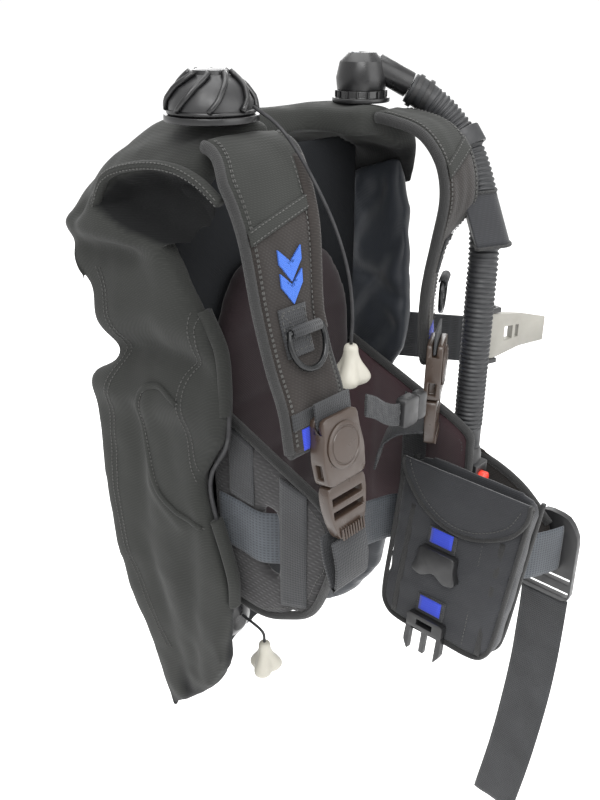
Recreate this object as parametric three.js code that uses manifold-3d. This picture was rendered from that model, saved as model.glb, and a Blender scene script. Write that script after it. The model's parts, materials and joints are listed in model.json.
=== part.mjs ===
// Back-inflation buoyancy compensator vest, in millimetres, +Z up.
// The wearer faces -Y and the wearer's left is +X. The origin is the middle of the backpack
// plate's flat rear face, where the tank bears, and that face looks along +Y.
import * as THREE from 'three';
import { mergeVertices } from 'three/addons/utils/BufferGeometryUtils.js';
import Module from 'manifold-3d';

const wasm = await Module();
wasm.setup();

// ---- driving dimensions ----
const GAP = 0.3; // clearance between pieces that touch

const PLATE_HALF_WIDTH = 72;
const PLATE_TOP = 205;
const PLATE_BOTTOM = -150;
const PLATE_THICKNESS = 12;
const HANDLE_SLOT_HALF_WIDTH = 45;
const HANDLE_SLOT_HEIGHT = 26;
const HANDLE_BAR = 16; // bar of plate left above the hand slot

const PANEL_SHEET = 3.5; // the air cell's middle panel, held between plate and pad
const PAD_THICKNESS = 22;
const PAD_HALF_WIDTH = 80;
const PAD_TOP = 150;

const BAND_WIDTH = 50; // tank band
const BAND_THICKNESS = 3;
const BAND_Z = 25;
const BAND_SLOT_X = 57.5;

const LOBE_INNER_X = 112; // inner face of each air cell lobe at the front
const LOBE_THICKNESS = 14;
const LOBE_REAR_Y = 80;
const YOKE_TOP = 268;
const YOKE_THICKNESS = 26;
const YOKE_FRONT_Y = -71;
const NECK_HALF_WIDTH = 46;

const STRAP_INNER_X = 50; // shoulder strap, measured from the vest's middle
const STRAP_WIDTH = 90;
const STRAP_THICKNESS = 9;

const PANEL_INNER_X = 93; // waist side panels
const PANEL_THICKNESS = 7;

const DUMP_X = -92;
const DUMP_Y = -45;
const CAP_RADIUS = 32;
const DUMP_BORE = 14;
const ELBOW_X = 85;
const ELBOW_Y = -40;
const HOOD_RADIUS = 22;
const EXHAUST_BORE = 13;

const HOSE_RADIUS = 13.5;
const HOSE_X = 116;
const HOSE_Y = -157;
const HOSE_END_Z = -38;
const INFLATOR_RADIUS = 15;
const INFLATOR_LENGTH = 96;

const BELT_WIDTH = 50;
const BELT_THICKNESS = 3;

const BUCKLE_WIDTH = 44; // shoulder quick-release buckles
const BUCKLE_THICKNESS = 14;
const SOCKET_LENGTH = 52;
const PLUG_LENGTH = 46;
const WEB_WIDTH = 38;
const WEB_THICKNESS = 2;

const RING_WIDTH = 41; // D-rings
const RING_HEIGHT = 34;
const RING_WIRE = 4.6;

const POCKET_X = 51.7; // middle of the pocket's front face
const POCKET_WIDTH = 134;
const POCKET_HEIGHT = 168;
const POCKET_DEPTH = 22;
const POCKET_WALL = 4;
const POCKET_WEB = 30;
const POCKET_BUCKLE_Y = 12; // both pocket buckles sit this far off the pocket's middle

const CORD_RADIUS = 1.4;
const KNOB_HEIGHT = 34;
const KNOB_REACH = 16;

// ---- colours ----
const CORDURA = 0x33342f;
const STRAP_CLOTH = 0x2c2a29;
const LINING = 0x3d2f31;
const WEBBING = 0x2b2c2e;
const GREY_WEBBING = 0x4a4d52;
const BLACK_PLASTIC = 0x1b1b1c;
const BROWN_PLASTIC = 0x2c2724;
const GREY_PLASTIC = 0xb4b3ab;
const RUBBER = 0x232426;
const RED_PLASTIC = 0xd2402f;
const STEEL = 0x9a9ca0;
const BLACK_METAL = 0x2a2b2c;

// ---- solids ----
function toSolid(geometry) {
  const bare = geometry.clone();
  bare.deleteAttribute('normal');
  bare.deleteAttribute('uv');
  const merged = mergeVertices(bare, 1e-4);
  const vertProperties = new Float32Array(merged.attributes.position.array);
  const triVerts = new Uint32Array(merged.index.array);
  return new wasm.Manifold(new wasm.Mesh({ numProp: 3, vertProperties, triVerts }));
}

function toGeometry(solid) {
  const mesh = solid.getMesh();
  const geometry = new THREE.BufferGeometry();
  geometry.setAttribute('position', new THREE.BufferAttribute(mesh.vertProperties, 3));
  geometry.setIndex(new THREE.BufferAttribute(mesh.triVerts, 1));
  geometry.computeVertexNormals();
  return geometry;
}

// A solid with each of its points changed.
function reshaped(solid, change) {
  const geometry = toGeometry(solid);
  const { position } = geometry.attributes;
  const point = new THREE.Vector3();
  for (let i = 0; i < position.count; i += 1) {
    change(point.fromBufferAttribute(position, i));
    position.setXYZ(i, point.x, point.y, point.z);
  }
  return toSolid(geometry);
}

const Y_AXIS = new THREE.Vector3(0, 1, 0);
const Z_AXIS = new THREE.Vector3(0, 0, 1);

function movedTo(solid, x, y, z) {
  const step = new THREE.Vector3(x, y, z);
  return reshaped(solid, (point) => point.add(step));
}

function turnedBy(solid, axis, degrees) {
  const angle = THREE.MathUtils.degToRad(degrees);
  return reshaped(solid, (point) => point.applyAxisAngle(axis, angle));
}

const cut = (from, ...tools) => tools.reduce((rest, tool) => rest.subtract(tool), from);
const join = (first, ...others) => others.reduce((sum, other) => sum.add(other), first);
const common = (first, ...others) => others.reduce((rest, other) => rest.intersect(other), first);

// ---- outlines: arrays of [a, b] ----
function spline(points, steps) {
  const curve = new THREE.SplineCurve(points.map(([a, b]) => new THREE.Vector2(a, b)));
  return curve.getPoints(steps).map((p) => [p.x, p.y]);
}

// An open line given a thickness: out along one side and back along the other.
function ribbon(points, thickness) {
  const sides = [[], []];
  points.forEach((point, i) => {
    const before = points[Math.max(i - 1, 0)];
    const after = points[Math.min(i + 1, points.length - 1)];
    const length = Math.hypot(after[0] - before[0], after[1] - before[1]);
    const across = [(before[1] - after[1]) / length, (after[0] - before[0]) / length];
    [0.5, -0.5].forEach((share, side) => {
      sides[side].push([
        point[0] + across[0] * thickness * share,
        point[1] + across[1] * thickness * share,
      ]);
    });
  });
  return [...sides[0], ...sides[1].reverse()];
}

function rounded(points, radius, steps = 3) {
  const result = [];
  points.forEach((corner, i) => {
    const before = points[(i + points.length - 1) % points.length];
    const after = points[(i + 1) % points.length];
    const towards = (other) => {
      const length = Math.hypot(other[0] - corner[0], other[1] - corner[1]);
      const reach = Math.min(radius, length * 0.45) / length;
      return [corner[0] + (other[0] - corner[0]) * reach, corner[1] + (other[1] - corner[1]) * reach];
    };
    const from = towards(before);
    const to = towards(after);
    for (let k = 0; k <= steps; k += 1) {
      const t = k / steps;
      result.push([0, 1].map((n) => (1 - t) ** 2 * from[n] + 2 * t * (1 - t) * corner[n] + t ** 2 * to[n]));
    }
  });
  return result;
}

const rectangle = (a0, a1, b0, b1) => [[a0, b0], [a1, b0], [a1, b1], [a0, b1]];
const mirrored = (points) => points.map(([a, b]) => [-a, b]).reverse();

function extruded(points, depth, steps = 1) {
  const shape = new THREE.Shape(points.map(([a, b]) => new THREE.Vector2(a, b)));
  return new THREE.ExtrudeGeometry(shape, { depth, steps, bevelEnabled: false });
}

// Outline in (y, z) pushed along X, in (x, z) along Y, and in (x, y) along Z.
function slabX(points, x0, x1) {
  const turn = new THREE.Matrix4().set(0, 0, 1, x0, 1, 0, 0, 0, 0, 1, 0, 0, 0, 0, 0, 1);
  return toSolid(extruded(points, x1 - x0).applyMatrix4(turn));
}

function slabY(points, y0, y1, steps = 1) {
  const turn = new THREE.Matrix4().set(1, 0, 0, 0, 0, 0, -1, y1, 0, 1, 0, 0, 0, 0, 0, 1);
  return toSolid(extruded(points, y1 - y0, steps).applyMatrix4(turn));
}

function slabZ(points, z0, z1) {
  return toSolid(extruded(points, z1 - z0).translate(0, 0, z0));
}

const block = (x0, x1, y0, y1, z0, z1) => slabZ(rectangle(x0, x1, y0, y1), z0, z1);

// A turned solid on the Z axis from [radius, z] points that start and end on the axis.
function turned(points, sides = 24) {
  const profile = points.map(([r, z]) => new THREE.Vector2(r, z));
  if (THREE.ShapeUtils.area(profile) < 0) profile.reverse();
  return toSolid(new THREE.LatheGeometry(profile, sides).rotateX(Math.PI / 2));
}

const disc = (radius, z0, z1, sides) => turned([[0, z0], [radius, z0], [radius, z1], [0, z1]], sides);

// Round bars along X and along Y.
const barrel = (radius, length, sides = 16) => toSolid(
  new THREE.CylinderGeometry(radius, radius, length, sides).rotateZ(Math.PI / 2));
const rod = (rear, front, length, sides) => toSolid(new THREE.CylinderGeometry(rear, front, length, sides));

function ringZ(outer, inner, z0, z1, sides) {
  return cut(disc(outer, z0, z1, sides), disc(inner, z0 - 1, z1 + 1, sides));
}

function tube(points, radius, steps, sides = 8) {
  const path = new THREE.CatmullRomCurve3(points.map((p) => new THREE.Vector3(...p)));
  const section = new THREE.Shape();
  for (let i = 0; i < sides; i += 1) {
    const angle = (2 * Math.PI * i) / sides;
    const move = i === 0 ? 'moveTo' : 'lineTo';
    section[move](radius * Math.cos(angle), radius * Math.sin(angle));
  }
  return new THREE.ExtrudeGeometry(section, { steps, extrudePath: path, bevelEnabled: false });
}

// ---- the scene ----
const vest = new THREE.Group();
vest.name = 'buoyancy_vest';

function add(name, shape, colour, roughness = 0.85, metalness = 0, parent = vest) {
  const geometry = shape.isBufferGeometry ? shape : toGeometry(shape);
  const material = new THREE.MeshStandardMaterial({ color: colour, roughness, metalness });
  const mesh = new THREE.Mesh(geometry, material);
  mesh.name = name;
  parent.add(mesh);
  return mesh;
}

function frameAt(x, y, z, pitch = 0, yaw = 0) {
  const group = new THREE.Group();
  group.position.set(x, y, z);
  group.rotation.set(THREE.MathUtils.degToRad(pitch), 0, THREE.MathUtils.degToRad(yaw), 'ZYX');
  vest.add(group);
  return group;
}

// A copy of a solid spread by the clearance, to cut its neighbours with.
function spread(solid) {
  const steps = [[0, 0, -GAP], [0, 0, GAP], [GAP, 0, 0], [-GAP, 0, 0], [0, GAP, 0], [0, -GAP, 0]];
  return join(solid, ...steps.map((step) => movedTo(solid, ...step)));
}

// ---- backpack plate and back pad ----
const BAND_RUN_Y = -PLATE_THICKNESS + BAND_THICKNESS / 2 + 0.5; // the band in front of the plate
const PANEL_SHEET_Y = -PLATE_THICKNESS - GAP; // rear face of the air cell's middle panel

function backpack() {
  const handTop = PLATE_TOP - HANDLE_BAR;
  const handOutline = rounded(
    rectangle(-HANDLE_SLOT_HALF_WIDTH, HANDLE_SLOT_HALF_WIDTH, handTop - HANDLE_SLOT_HEIGHT, handTop), 12);
  const handSlot = slabY(handOutline, -PLATE_THICKNESS - 1, 1);
  const slotHalf = BAND_THICKNESS / 2 + 1;
  const bandBottom = BAND_Z - BAND_WIDTH / 2 - 1;
  const bandTop = BAND_Z + BAND_WIDTH / 2 + 1;
  const slots = [-BAND_SLOT_X, BAND_SLOT_X].map((x) => block(
    x - slotHalf, x + slotHalf, -PLATE_THICKNESS - 1, 1, bandBottom, bandTop));
  const recess = block(-BAND_SLOT_X - slotHalf, BAND_SLOT_X + slotHalf,
    -PLATE_THICKNESS - 1, BAND_RUN_Y + BAND_THICKNESS / 2 + 0.5, bandBottom, bandTop);
  const outline = rounded(rectangle(-PLATE_HALF_WIDTH, PLATE_HALF_WIDTH, PLATE_BOTTOM, PLATE_TOP), 34, 4);
  const plate = slabY(outline, -PLATE_THICKNESS, 0);
  add('backpack_plate', cut(plate, handSlot, recess, ...slots), BLACK_PLASTIC, 0.6);

  const padRear = PANEL_SHEET_Y - PANEL_SHEET - GAP;
  const padOutline = rounded([[-PAD_HALF_WIDTH, PLATE_BOTTOM], [PAD_HALF_WIDTH, PLATE_BOTTOM],
    [PAD_HALF_WIDTH, PAD_TOP - 60], [PAD_HALF_WIDTH - 30, PAD_TOP], [30 - PAD_HALF_WIDTH, PAD_TOP],
    [-PAD_HALF_WIDTH, PAD_TOP - 60]], 26);
  add('back_pad', slabY(padOutline, padRear - PAD_THICKNESS, padRear), LINING, 0.95);
}

// ---- tank band with its cam buckle, wound round the left lobe ----
const BUCKLE_END = [214, -92];
const LEVER_YAW = -19;
const CAM_HALF = BAND_WIDTH / 2 + 6;
const CAM_EAR = 5;
const CAM_PIN = 2.5;
const CAM_PIN_X = 28;
const LEVER_END_X = 92;

function tankBand() {
  const slot = BAND_SLOT_X;
  const rightEnd = spline([[-34, 126], [-62, 104], [-66, 60], [-slot, 10]], 10);
  const lobeRear = LOBE_REAR_Y + 12;
  const lobeOuter = LOBE_INNER_X + LOBE_THICKNESS + 34;
  const leftEnd = spline([[slot, 10], [72, 66], [104, lobeRear + 4], [148, lobeRear + 8],
    [lobeOuter, 84], [lobeOuter + 6, 4], [192, -54], BUCKLE_END], 26);
  const run = [...rightEnd, [-slot, BAND_RUN_Y + 2], [-slot + 2, BAND_RUN_Y], [slot - 2, BAND_RUN_Y],
    [slot, BAND_RUN_Y + 2], ...leftEnd];
  const bottom = BAND_Z - BAND_WIDTH / 2;
  add('tank_band', slabZ(ribbon(run, BAND_THICKNESS), bottom, bottom + BAND_WIDTH), WEBBING, 0.9);

  const group = frameAt(...BUCKLE_END, BAND_Z, 0, LEVER_YAW);
  const body = block(1, CAM_PIN_X - 10, -4, 4, -CAM_HALF, CAM_HALF);
  const ears = [-1, 1].map((side) => {
    const z = side * (CAM_HALF - CAM_EAR / 2);
    return block(8, CAM_PIN_X + 6, -6, 6, z - CAM_EAR / 2, z + CAM_EAR / 2);
  });
  const bore = movedTo(disc(CAM_PIN + GAP, -CAM_HALF - 1, CAM_HALF + 1, 12), CAM_PIN_X, 0, 0);
  const bladeSweep = movedTo(disc(9.5, CAM_EAR - CAM_HALF, CAM_HALF - CAM_EAR, 16), CAM_PIN_X, 0, 0);
  add('cam_buckle_frame', cut(join(body, ...ears), bore, bladeSweep), BLACK_PLASTIC, 0.5, 0, group);

  const leverHalf = CAM_HALF - CAM_EAR - 1;
  const blade = slabZ([[CAM_PIN_X - 5, -5], [CAM_PIN_X + 5, -6], [66, -3], [LEVER_END_X, -11],
    [LEVER_END_X + 2, -7], [68, 3], [CAM_PIN_X + 5, 6], [CAM_PIN_X - 5, 5]], -leverHalf, leverHalf);
  const windows = [[42, 54], [58, 63]].map(([x0, x1]) => block(x0, x1, -14, 14, -9, 9));
  const pin = movedTo(disc(CAM_PIN, 1 - CAM_HALF, CAM_HALF - 1, 12), CAM_PIN_X, 0, 0);
  add('cam_lever', join(cut(blade, ...windows), pin), GREY_PLASTIC, 0.5, 0, group);
}

// ---- air cell: yoke over the shoulders, two lobes and the middle panel ----
function airCell() {
  const rim = YOKE_FRONT_Y;
  const halfPlan = [[NECK_HALF_WIDTH, -14], [NECK_HALF_WIDTH + 4, rim], [136, rim], [150, 6], [148, 94],
    [60, 82], [20, 44]];
  const yokePlan = rounded([...halfPlan, ...mirrored(halfPlan)], 10, 2);
  const crown = archLine(YOKE_TOP, 1);
  const under = archLine(YOKE_TOP - YOKE_THICKNESS, 0.92);
  const sheet = reshaped(slabY([...crown, ...under.reverse()], -120, 120, 16), drape);
  const yoke = common(slabZ(yokePlan, 100, 300), sheet);
  add('air_cell_yoke', yoke, CORDURA, 0.9);
  const underYoke = spread(yoke);

  const sides = {
    right: { sign: -1, lowest: [50, -352], top: [[-50, 144], [-14, 196]] },
    left: { sign: 1, lowest: [38, -323], top: [[-72, 150], [-66, 230]] },
  };
  const rear = [[86, 158], [72, 112], [46, 72], [76, 44], [74, -20], [66, -160], [60, -270]];
  const front = [[-23, -284], [-62, -226], [-76, -130], [-44, -22], [-77, 34], [-77, 84]];
  const plan = rounded([[LOBE_INNER_X - 40, -78], [LOBE_INNER_X + 14, -78], [LOBE_INNER_X + 24, -10],
    [LOBE_INNER_X + 28, LOBE_REAR_Y + 6], [LOBE_INNER_X - 40, LOBE_REAR_Y + 6]], 6, 2);
  const across = [[LOBE_INNER_X, 250], [LOBE_INNER_X, DRAW_IN_FROM], [lobeInner(-370), -370],
    [lobeInner(-370) + 22, -370], [LOBE_INNER_X + 28, DRAW_IN_FROM], [LOBE_INNER_X + 30, 250]];
  Object.entries(sides).forEach(([side, { sign, lowest, top }]) => {
    const profile = rounded([...rear, lowest, ...front, ...top], 12, 2);
    const towards = (points) => (sign > 0 ? points : mirrored(points));
    const lobe = common(slabZ(towards(plan), -400, 260), slabX(profile, -400, 400),
      slabY(towards(across), -100, 100));
    add(`air_cell_${side}`, cut(lobe, underYoke), CORDURA, 0.9);
  });

  const half = [[LOBE_INNER_X - GAP, 238], [LOBE_INNER_X - GAP, DRAW_IN_FROM],
    [lobeInner(-262) - 2 * GAP, -262], [58, -242], [0, -228]];
  const outline = [...half, ...mirrored(half).slice(1)];
  const sheetPanel = slabY(outline, PANEL_SHEET_Y - PANEL_SHEET, PANEL_SHEET_Y);
  add('air_cell_panel', cut(sheetPanel, underYoke), CORDURA, 0.9);
}

// The yoke's section across the vest, high in the middle and falling at the shoulders.
function archLine(top, share) {
  const half = [[152, -64], [142, -40], [122, -15], [84, 0]].map(([x, z]) => [x * share, top + z]);
  return [...half, ...mirrored(half)];
}

// The yoke falls away behind the neck, more so at the shoulders.
function drape(point) {
  const rise = Math.max(point.y, 0);
  const share = Math.min(Math.abs(point.x) / 90, 1);
  point.z -= (0.1 + 0.1 * share) * rise + (0.002 + 0.002 * share) * rise ** 2;
}

// The empty lobes hang closer together below this height.
const DRAW_IN_FROM = -100;
const DRAW_IN = 0.092;
const lobeInner = (z) => LOBE_INNER_X - DRAW_IN * Math.max(DRAW_IN_FROM - z, 0);

// ---- shoulder straps ----
// Each strap's middle line seen from the side, as [y, z], and how far it turns to the side.
const STRAPS = {
  right: {
    sign: -1,
    inner: STRAP_INNER_X,
    outer: STRAP_INNER_X + STRAP_WIDTH,
    turn: 0,
    line: [[-56, 257], [-78, 254], [-97, 241], [-117, 207], [-132, 150], [-145, 110], [-156, 84],
      [-162, 56]],
  },
  left: {
    sign: 1,
    inner: 66,
    outer: 114,
    turn: THREE.MathUtils.degToRad(28),
    line: [[-56, 260], [-84, 258], [-118, 250], [-138, 230], [-145, 204], [-140, 165], [-134, 130],
      [-132, 90], [-136, 57]],
  },
};

// The left strap turns outwards below the shoulder, as its hose pulls it round.
function strapTurn(strap, z) {
  return strap.turn * THREE.MathUtils.smoothstep(250 - z, 0, 36);
}

// A place on a strap: so far from its inner edge, at a height, and so far in front of its face.
function onStrap(strap, along, z, out) {
  const { line } = strap;
  const i = line.findIndex((point, k) => k > 0 && point[1] <= z);
  const [y0, z0] = line[i - 1];
  const [y1, z1] = line[i];
  const y = y0 + ((y1 - y0) * (z0 - z)) / (z0 - z1);
  const turn = strapTurn(strap, z);
  const lift = STRAP_THICKNESS / 2 + out;
  const x = strap.inner + along * Math.cos(turn) + lift * Math.sin(turn);
  return {
    place: [strap.sign * x, y + along * Math.sin(turn) - lift * Math.cos(turn), z],
    pitch: THREE.MathUtils.radToDeg(Math.atan2(y1 - y0, z0 - z1)),
    yaw: strap.sign * THREE.MathUtils.radToDeg(turn),
  };
}

function shoulderStraps() {
  Object.entries(STRAPS).forEach(([side, strap]) => {
    const { inner, outer } = strap;
    const line = spline(strap.line, 18);
    const lowest = line[line.length - 1][1];
    const outline = rounded([[inner, 290], [inner, lowest - 9], [outer - 6, lowest - 3], [outer, 180],
      [outer - 4, 236], [outer - 16, 252], [outer - 16, 290]], 12, 2);
    const front = slabY(strap.sign > 0 ? outline : mirrored(outline), -220, YOKE_FRONT_Y - GAP);
    const strip = common(slabX(ribbon(line, STRAP_THICKNESS), -200, 200), front);
    const shaped = reshaped(strip, (point) => {
      const turn = strapTurn(strap, point.z);
      const along = Math.abs(point.x) - inner;
      point.x = strap.sign * (inner + along * Math.cos(turn));
      point.y += along * Math.sin(turn);
    });
    add(`shoulder_strap_${side}`, shaped, STRAP_CLOTH, 0.92);
  });
}

// ---- waist side panels, belt, left waistband, its buckle and tail ----
const PANEL_PROFILE = [[-26, 44], [-104, 14], [-166, -12], [-173, -24], [-173, -62], [-150, -118],
  [-96, -148], [-26, -148]];
const TAIL_X = 156;
const BELT_SLOT_Y = -106; // where the belt passes through the right panel

function sidePanels() {
  const middle = PANEL_INNER_X + PANEL_THICKNESS / 2;
  const root = PAD_HALF_WIDTH + 2 * GAP;
  const plan = ribbon([[root, -31], [root + 8, -32], [middle - 2, -40], [middle, -50], [middle, -180]],
    PANEL_THICKNESS);
  const slot = block(-200, 200, BELT_SLOT_Y - 9, BELT_SLOT_Y + 9, -100, -34);
  ['right', 'left'].forEach((side) => {
    const wall = slabZ(side === 'left' ? plan : mirrored(plan), -200, 100);
    const panel = common(wall, slabX(rounded(PANEL_PROFILE, 14), -200, 200));
    add(`side_panel_${side}`, side === 'right' ? cut(panel, slot) : panel, LINING, 0.95);
  });
}

function waist() {
  const outside = PANEL_INNER_X + PANEL_THICKNESS;
  const beside = outside + GAP + BELT_THICKNESS / 2;
  const plateX = TAIL_X - 3.5;
  const behindPocket = POCKET_X + POCKET_DEPTH + 7.7;
  const run = spline([[-beside, -46], [-beside, -72], [-beside - 0.5, -96], [-outside + 4, -107],
    [-70, -121], [-16, -119], [40, -108], [68, -111], [behindPocket + 1, -122], [behindPocket, -150],
    [behindPocket, -200], [90, -226], [108, -240], [132, -247], [plateX - GAP, -250]], 44);
  const side = [[-120, -40], [-84, -40], [38, -86], [90, -96], [200, -116]];
  const slope = [...side, ...side.map(([x, z]) => [x, z - BELT_WIDTH]).reverse()];
  add('waist_belt', common(slabZ(ribbon(run, BELT_THICKNESS), -250, 0), slabY(slope, -300, 0)),
    GREY_WEBBING, 0.9);

  const bandThickness = 5;
  const bandX = plateX - GAP - bandThickness / 2;
  const start = outside + GAP + 0.3 + bandThickness / 2;
  const band = spline([[start, -46], [start, -66], [start + 3, -80], [115, -95], [130, -104], [143, -122],
    [bandX, -156], [bandX, -200], [bandX, -243]], 24);
  const height = rounded([[-40, -46], [-150, -52], [-200, -78], [-240, -112], [-240, -140], [-204, -168],
    [-196, -190], [-120, -180], [-88, -104], [-40, -98]], 8, 2);
  const waistband = common(slabZ(ribbon(band, bandThickness), -250, 0), slabX(height, 60, 200));
  const beltWay = common(slabZ(ribbon(run, BELT_THICKNESS + 2 * GAP), -250, 0), slabY(slope, -300, 0));
  add('waistband_left', cut(waistband, spread(beltWay)), STRAP_CLOTH, 0.9);

  // A flat buckle hangs at the front of the waistband, and the belt's tail hangs below it.
  const plate = slabX(rounded([[-266, -192], [-211, -192], [-213, -112], [-228, -96], [-254, -98],
    [-266, -116]], 8, 2), plateX, plateX + 7);
  const slots = [-184, -168].map((z) => block(plateX - 6, plateX + 8, -264, -213, z - 3.5, z + 3.5));
  add('waist_buckle', cut(plate, ...slots), BLACK_PLASTIC, 0.5);
  const tail = spline([[TAIL_X, -192 - GAP], [TAIL_X, -230], [TAIL_X - 3, -300], [TAIL_X - 9, -400],
    [TAIL_X - 16, -486]], 14);
  const tailSides = [[-239, -190], [-239, -300], [-232, -400], [-220, -500]];
  const half = BELT_WIDTH / 2;
  const face = [...tailSides.map(([y, z]) => [y - half, z]),
    ...tailSides.map(([y, z]) => [y + half, z]).reverse()];
  add('waist_strap_tail', common(slabY(ribbon(tail, BELT_THICKNESS), -300, -180), slabX(face, 100, 200)),
    WEBBING, 0.9);
}

// ---- D-rings on their tabs ----
const RING_INNER = RING_WIDTH - 2 * RING_WIRE;
const TAB_WIDTH = RING_INNER - 2;
const TAB_BORE = (RING_WIRE / 2) * Math.SQRT2 + GAP + 0.2;

// A D with its straight side on top.
function dOutline(halfWidth, top, bottom) {
  const points = [[-halfWidth, top]];
  const shoulder = bottom + halfWidth * 0.8;
  for (let i = 0; i <= 12; i += 1) {
    const angle = Math.PI + (Math.PI * i) / 12;
    points.push([halfWidth * Math.cos(angle), shoulder + (shoulder - bottom) * Math.sin(angle)]);
  }
  points.push([halfWidth, top]);
  return points;
}

function dRings() {
  const places = { right: [53, 136], left: [36, 122] };
  Object.entries(places).forEach(([side, [along, z]]) => {
    const shell = TAB_BORE + WEB_THICKNESS;
    const { place, pitch, yaw } = onStrap(STRAPS[side], along, z, shell + 4.5 * GAP);
    const group = frameAt(...place, pitch, yaw);
    const radius = RING_WIRE / 2;
    const outer = dOutline(RING_WIDTH / 2, radius, radius - RING_HEIGHT);
    const inner = dOutline(RING_INNER / 2, -radius, 3 * radius - RING_HEIGHT);
    const ring = cut(slabY(outer, -radius, radius), slabY(inner, -radius - 1, radius + 1));
    add(`d_ring_${side}`, ring, BLACK_METAL, 0.35, 0.8, group);
    const web = block(-TAB_WIDTH / 2, TAB_WIDTH / 2, 0, shell, 0, 26);
    const tab = cut(join(barrel(shell, TAB_WIDTH), web), barrel(TAB_BORE, TAB_WIDTH + 4));
    add(`d_ring_tab_${side}`, tab, WEBBING, 0.9, 0, group);
  });
}

// ---- shoulder quick-release buckles: socket above, plug with its strap lock below ----
const PRONG_LENGTH = 18;
const PRONG_WIDTH = 7;
const PRONG_THICKNESS = 5;

function shoulderBuckles() {
  const places = { right: [48, 76, -10], left: [-3, 80, 0] };
  Object.entries(places).forEach(([side, [along, z, pitch]]) => {
    const half = BUCKLE_WIDTH / 2;
    const deep = BUCKLE_THICKNESS / 2;
    const { place, yaw } = onStrap(STRAPS[side], along, z, deep + 1.9);
    const group = frameAt(...place, pitch, yaw);
    const seam = -SOCKET_LENGTH;
    const body = rounded([[3 - half, 0], [2 - half, -16], [-half - 1, -30], [1 - half, seam],
      [half - 1, seam], [half + 1, -30], [half - 2, -16], [half - 3, 0]], 5, 2);
    const cavityHalf = PRONG_WIDTH + 9;
    const cavity = block(-cavityHalf, cavityHalf, -PRONG_THICKNESS / 2 - 1, PRONG_THICKNESS / 2 + 1,
      seam - 1, seam + PRONG_LENGTH + 3);
    const webSlot = block(-WEB_WIDTH / 2 - 1, WEB_WIDTH / 2 + 1, -2, 2.2, -11, -6);
    const windows = [-1, 1].map((sign) => movedTo(block(-5, 5, -3, 3, -6, 6), sign * half, 0, seam + 12));
    const webBore = block(-WEB_WIDTH / 2 - 1, WEB_WIDTH / 2 + 1, -2, 2.2, -9, 5);
    add(`buckle_socket_${side}`, cut(slabY(body, -deep, deep), cavity, webSlot, webBore, ...windows),
      BROWN_PLASTIC, 0.35, 0, group);
    add(`buckle_web_${side}`, block(-WEB_WIDTH / 2, WEB_WIDTH / 2, -1, 1, -8.5, 12), WEBBING, 0.9, 0, group);

    const top = seam - GAP;
    const end = top - PLUG_LENGTH;
    const shell = rounded([[1 - half, top], [-half, top - 14], [3 - half, top - 30], [9 - half, end],
      [half - 9, end], [half - 3, top - 30], [half, top - 14], [half - 1, top]], 5, 2);
    const lockSlots = [top - 13, top - 24].map((z) => block(
      -WEB_WIDTH / 2 + 2, WEB_WIDTH / 2 - 2, -deep - 1, deep + 1, z - 3, z + 3));
    const prongs = [-1, 1].map((sign) => block(
      sign * 11 - PRONG_WIDTH / 2, sign * 11 + PRONG_WIDTH / 2,
      -PRONG_THICKNESS / 2, PRONG_THICKNESS / 2, top - 1, top + PRONG_LENGTH));
    add(`buckle_plug_${side}`, join(cut(slabY(shell, 2 - deep, deep - 2), ...lockSlots), ...prongs),
      BROWN_PLASTIC, 0.35, 0, group);

    const tails = {
      right: [[0, end - GAP - 0.5], [-1, end - 24], [5, end - 44], [11, end - 20], [11, end + 2]],
      left: [[deep - 1.6, end + 14], [14, end + 13], [30, end + 8], [43, end - 6], [48, end - 30]],
    };
    const tail = spline(tails[side], 12);
    add(`lower_strap_${side}`, slabX(ribbon(tail, WEB_THICKNESS), -WEB_WIDTH / 2, WEB_WIDTH / 2),
      WEBBING, 0.9, 0, group);
  });
}

// ---- chest strap with its small buckle ----
function chestStrap() {
  const y = -163;
  const half = 10;
  const line = [[GAP - STRAP_INNER_X, 62], [-38, 56], [-24, 46], [-12, 40], [-4.5, 38]];
  const outline = [...line.map(([x, z]) => [x, z + half]), ...line.map(([x, z]) => [x, z - half]).reverse()];
  add('chest_strap_right', slabY(outline, y - 1, y + 1), WEBBING, 0.9);
  const group = frameAt(-4, y, 38);
  const socket = cut(slabY(rounded([[0, -13], [20, -13], [20, 13], [0, 13]], 4, 2), -5, 5),
    block(4, 21, -3, 3, -9, 9));
  add('chest_socket', socket, BLACK_PLASTIC, 0.45, 0, group);
  const plugBody = slabY(rounded([[20 + GAP, -12], [32, -12], [32, 12], [20 + GAP, 12]], 3, 2), -4.5, 4.5);
  const prongs = [-1, 1].map((sign) => block(6, 21, -2, 2, sign * 6 - 2, sign * 6 + 2));
  const throat = block(26, 33, -1.6, 1.6, -10.6, 10.6);
  add('chest_plug', cut(join(plugBody, ...prongs), throat), BLACK_PLASTIC, 0.45, 0, group);
  add('chest_strap_left', block(26.5, 34, -1, 1, -half, half), WEBBING, 0.9, 0, group);
}

// ---- right shoulder dump valve and lower rear dump valve ----
const REAR_DUMP_Y = PANEL_SHEET_Y - PANEL_SHEET;
const REAR_DUMP_HEIGHT = 22;
const KNOB_PLACES = { dump: [-33, -133, 100], rearDump: [-71, -66, -216] };

function knob() {
  const core = turned([[0, 0], [5, 0], [6, -6], [7, -KNOB_HEIGHT], [0, -KNOB_HEIGHT]], 12);
  const wing = [[3, -8], [7, -9], [KNOB_REACH, -KNOB_HEIGHT + 12], [KNOB_REACH, -KNOB_HEIGHT + 5],
    [3, 1 - KNOB_HEIGHT]];
  const wings = [-90, 30, 150].map((angle) => turnedBy(slabY(wing, -3, 3), Z_AXIS, angle));
  return join(core, ...wings);
}

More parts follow.
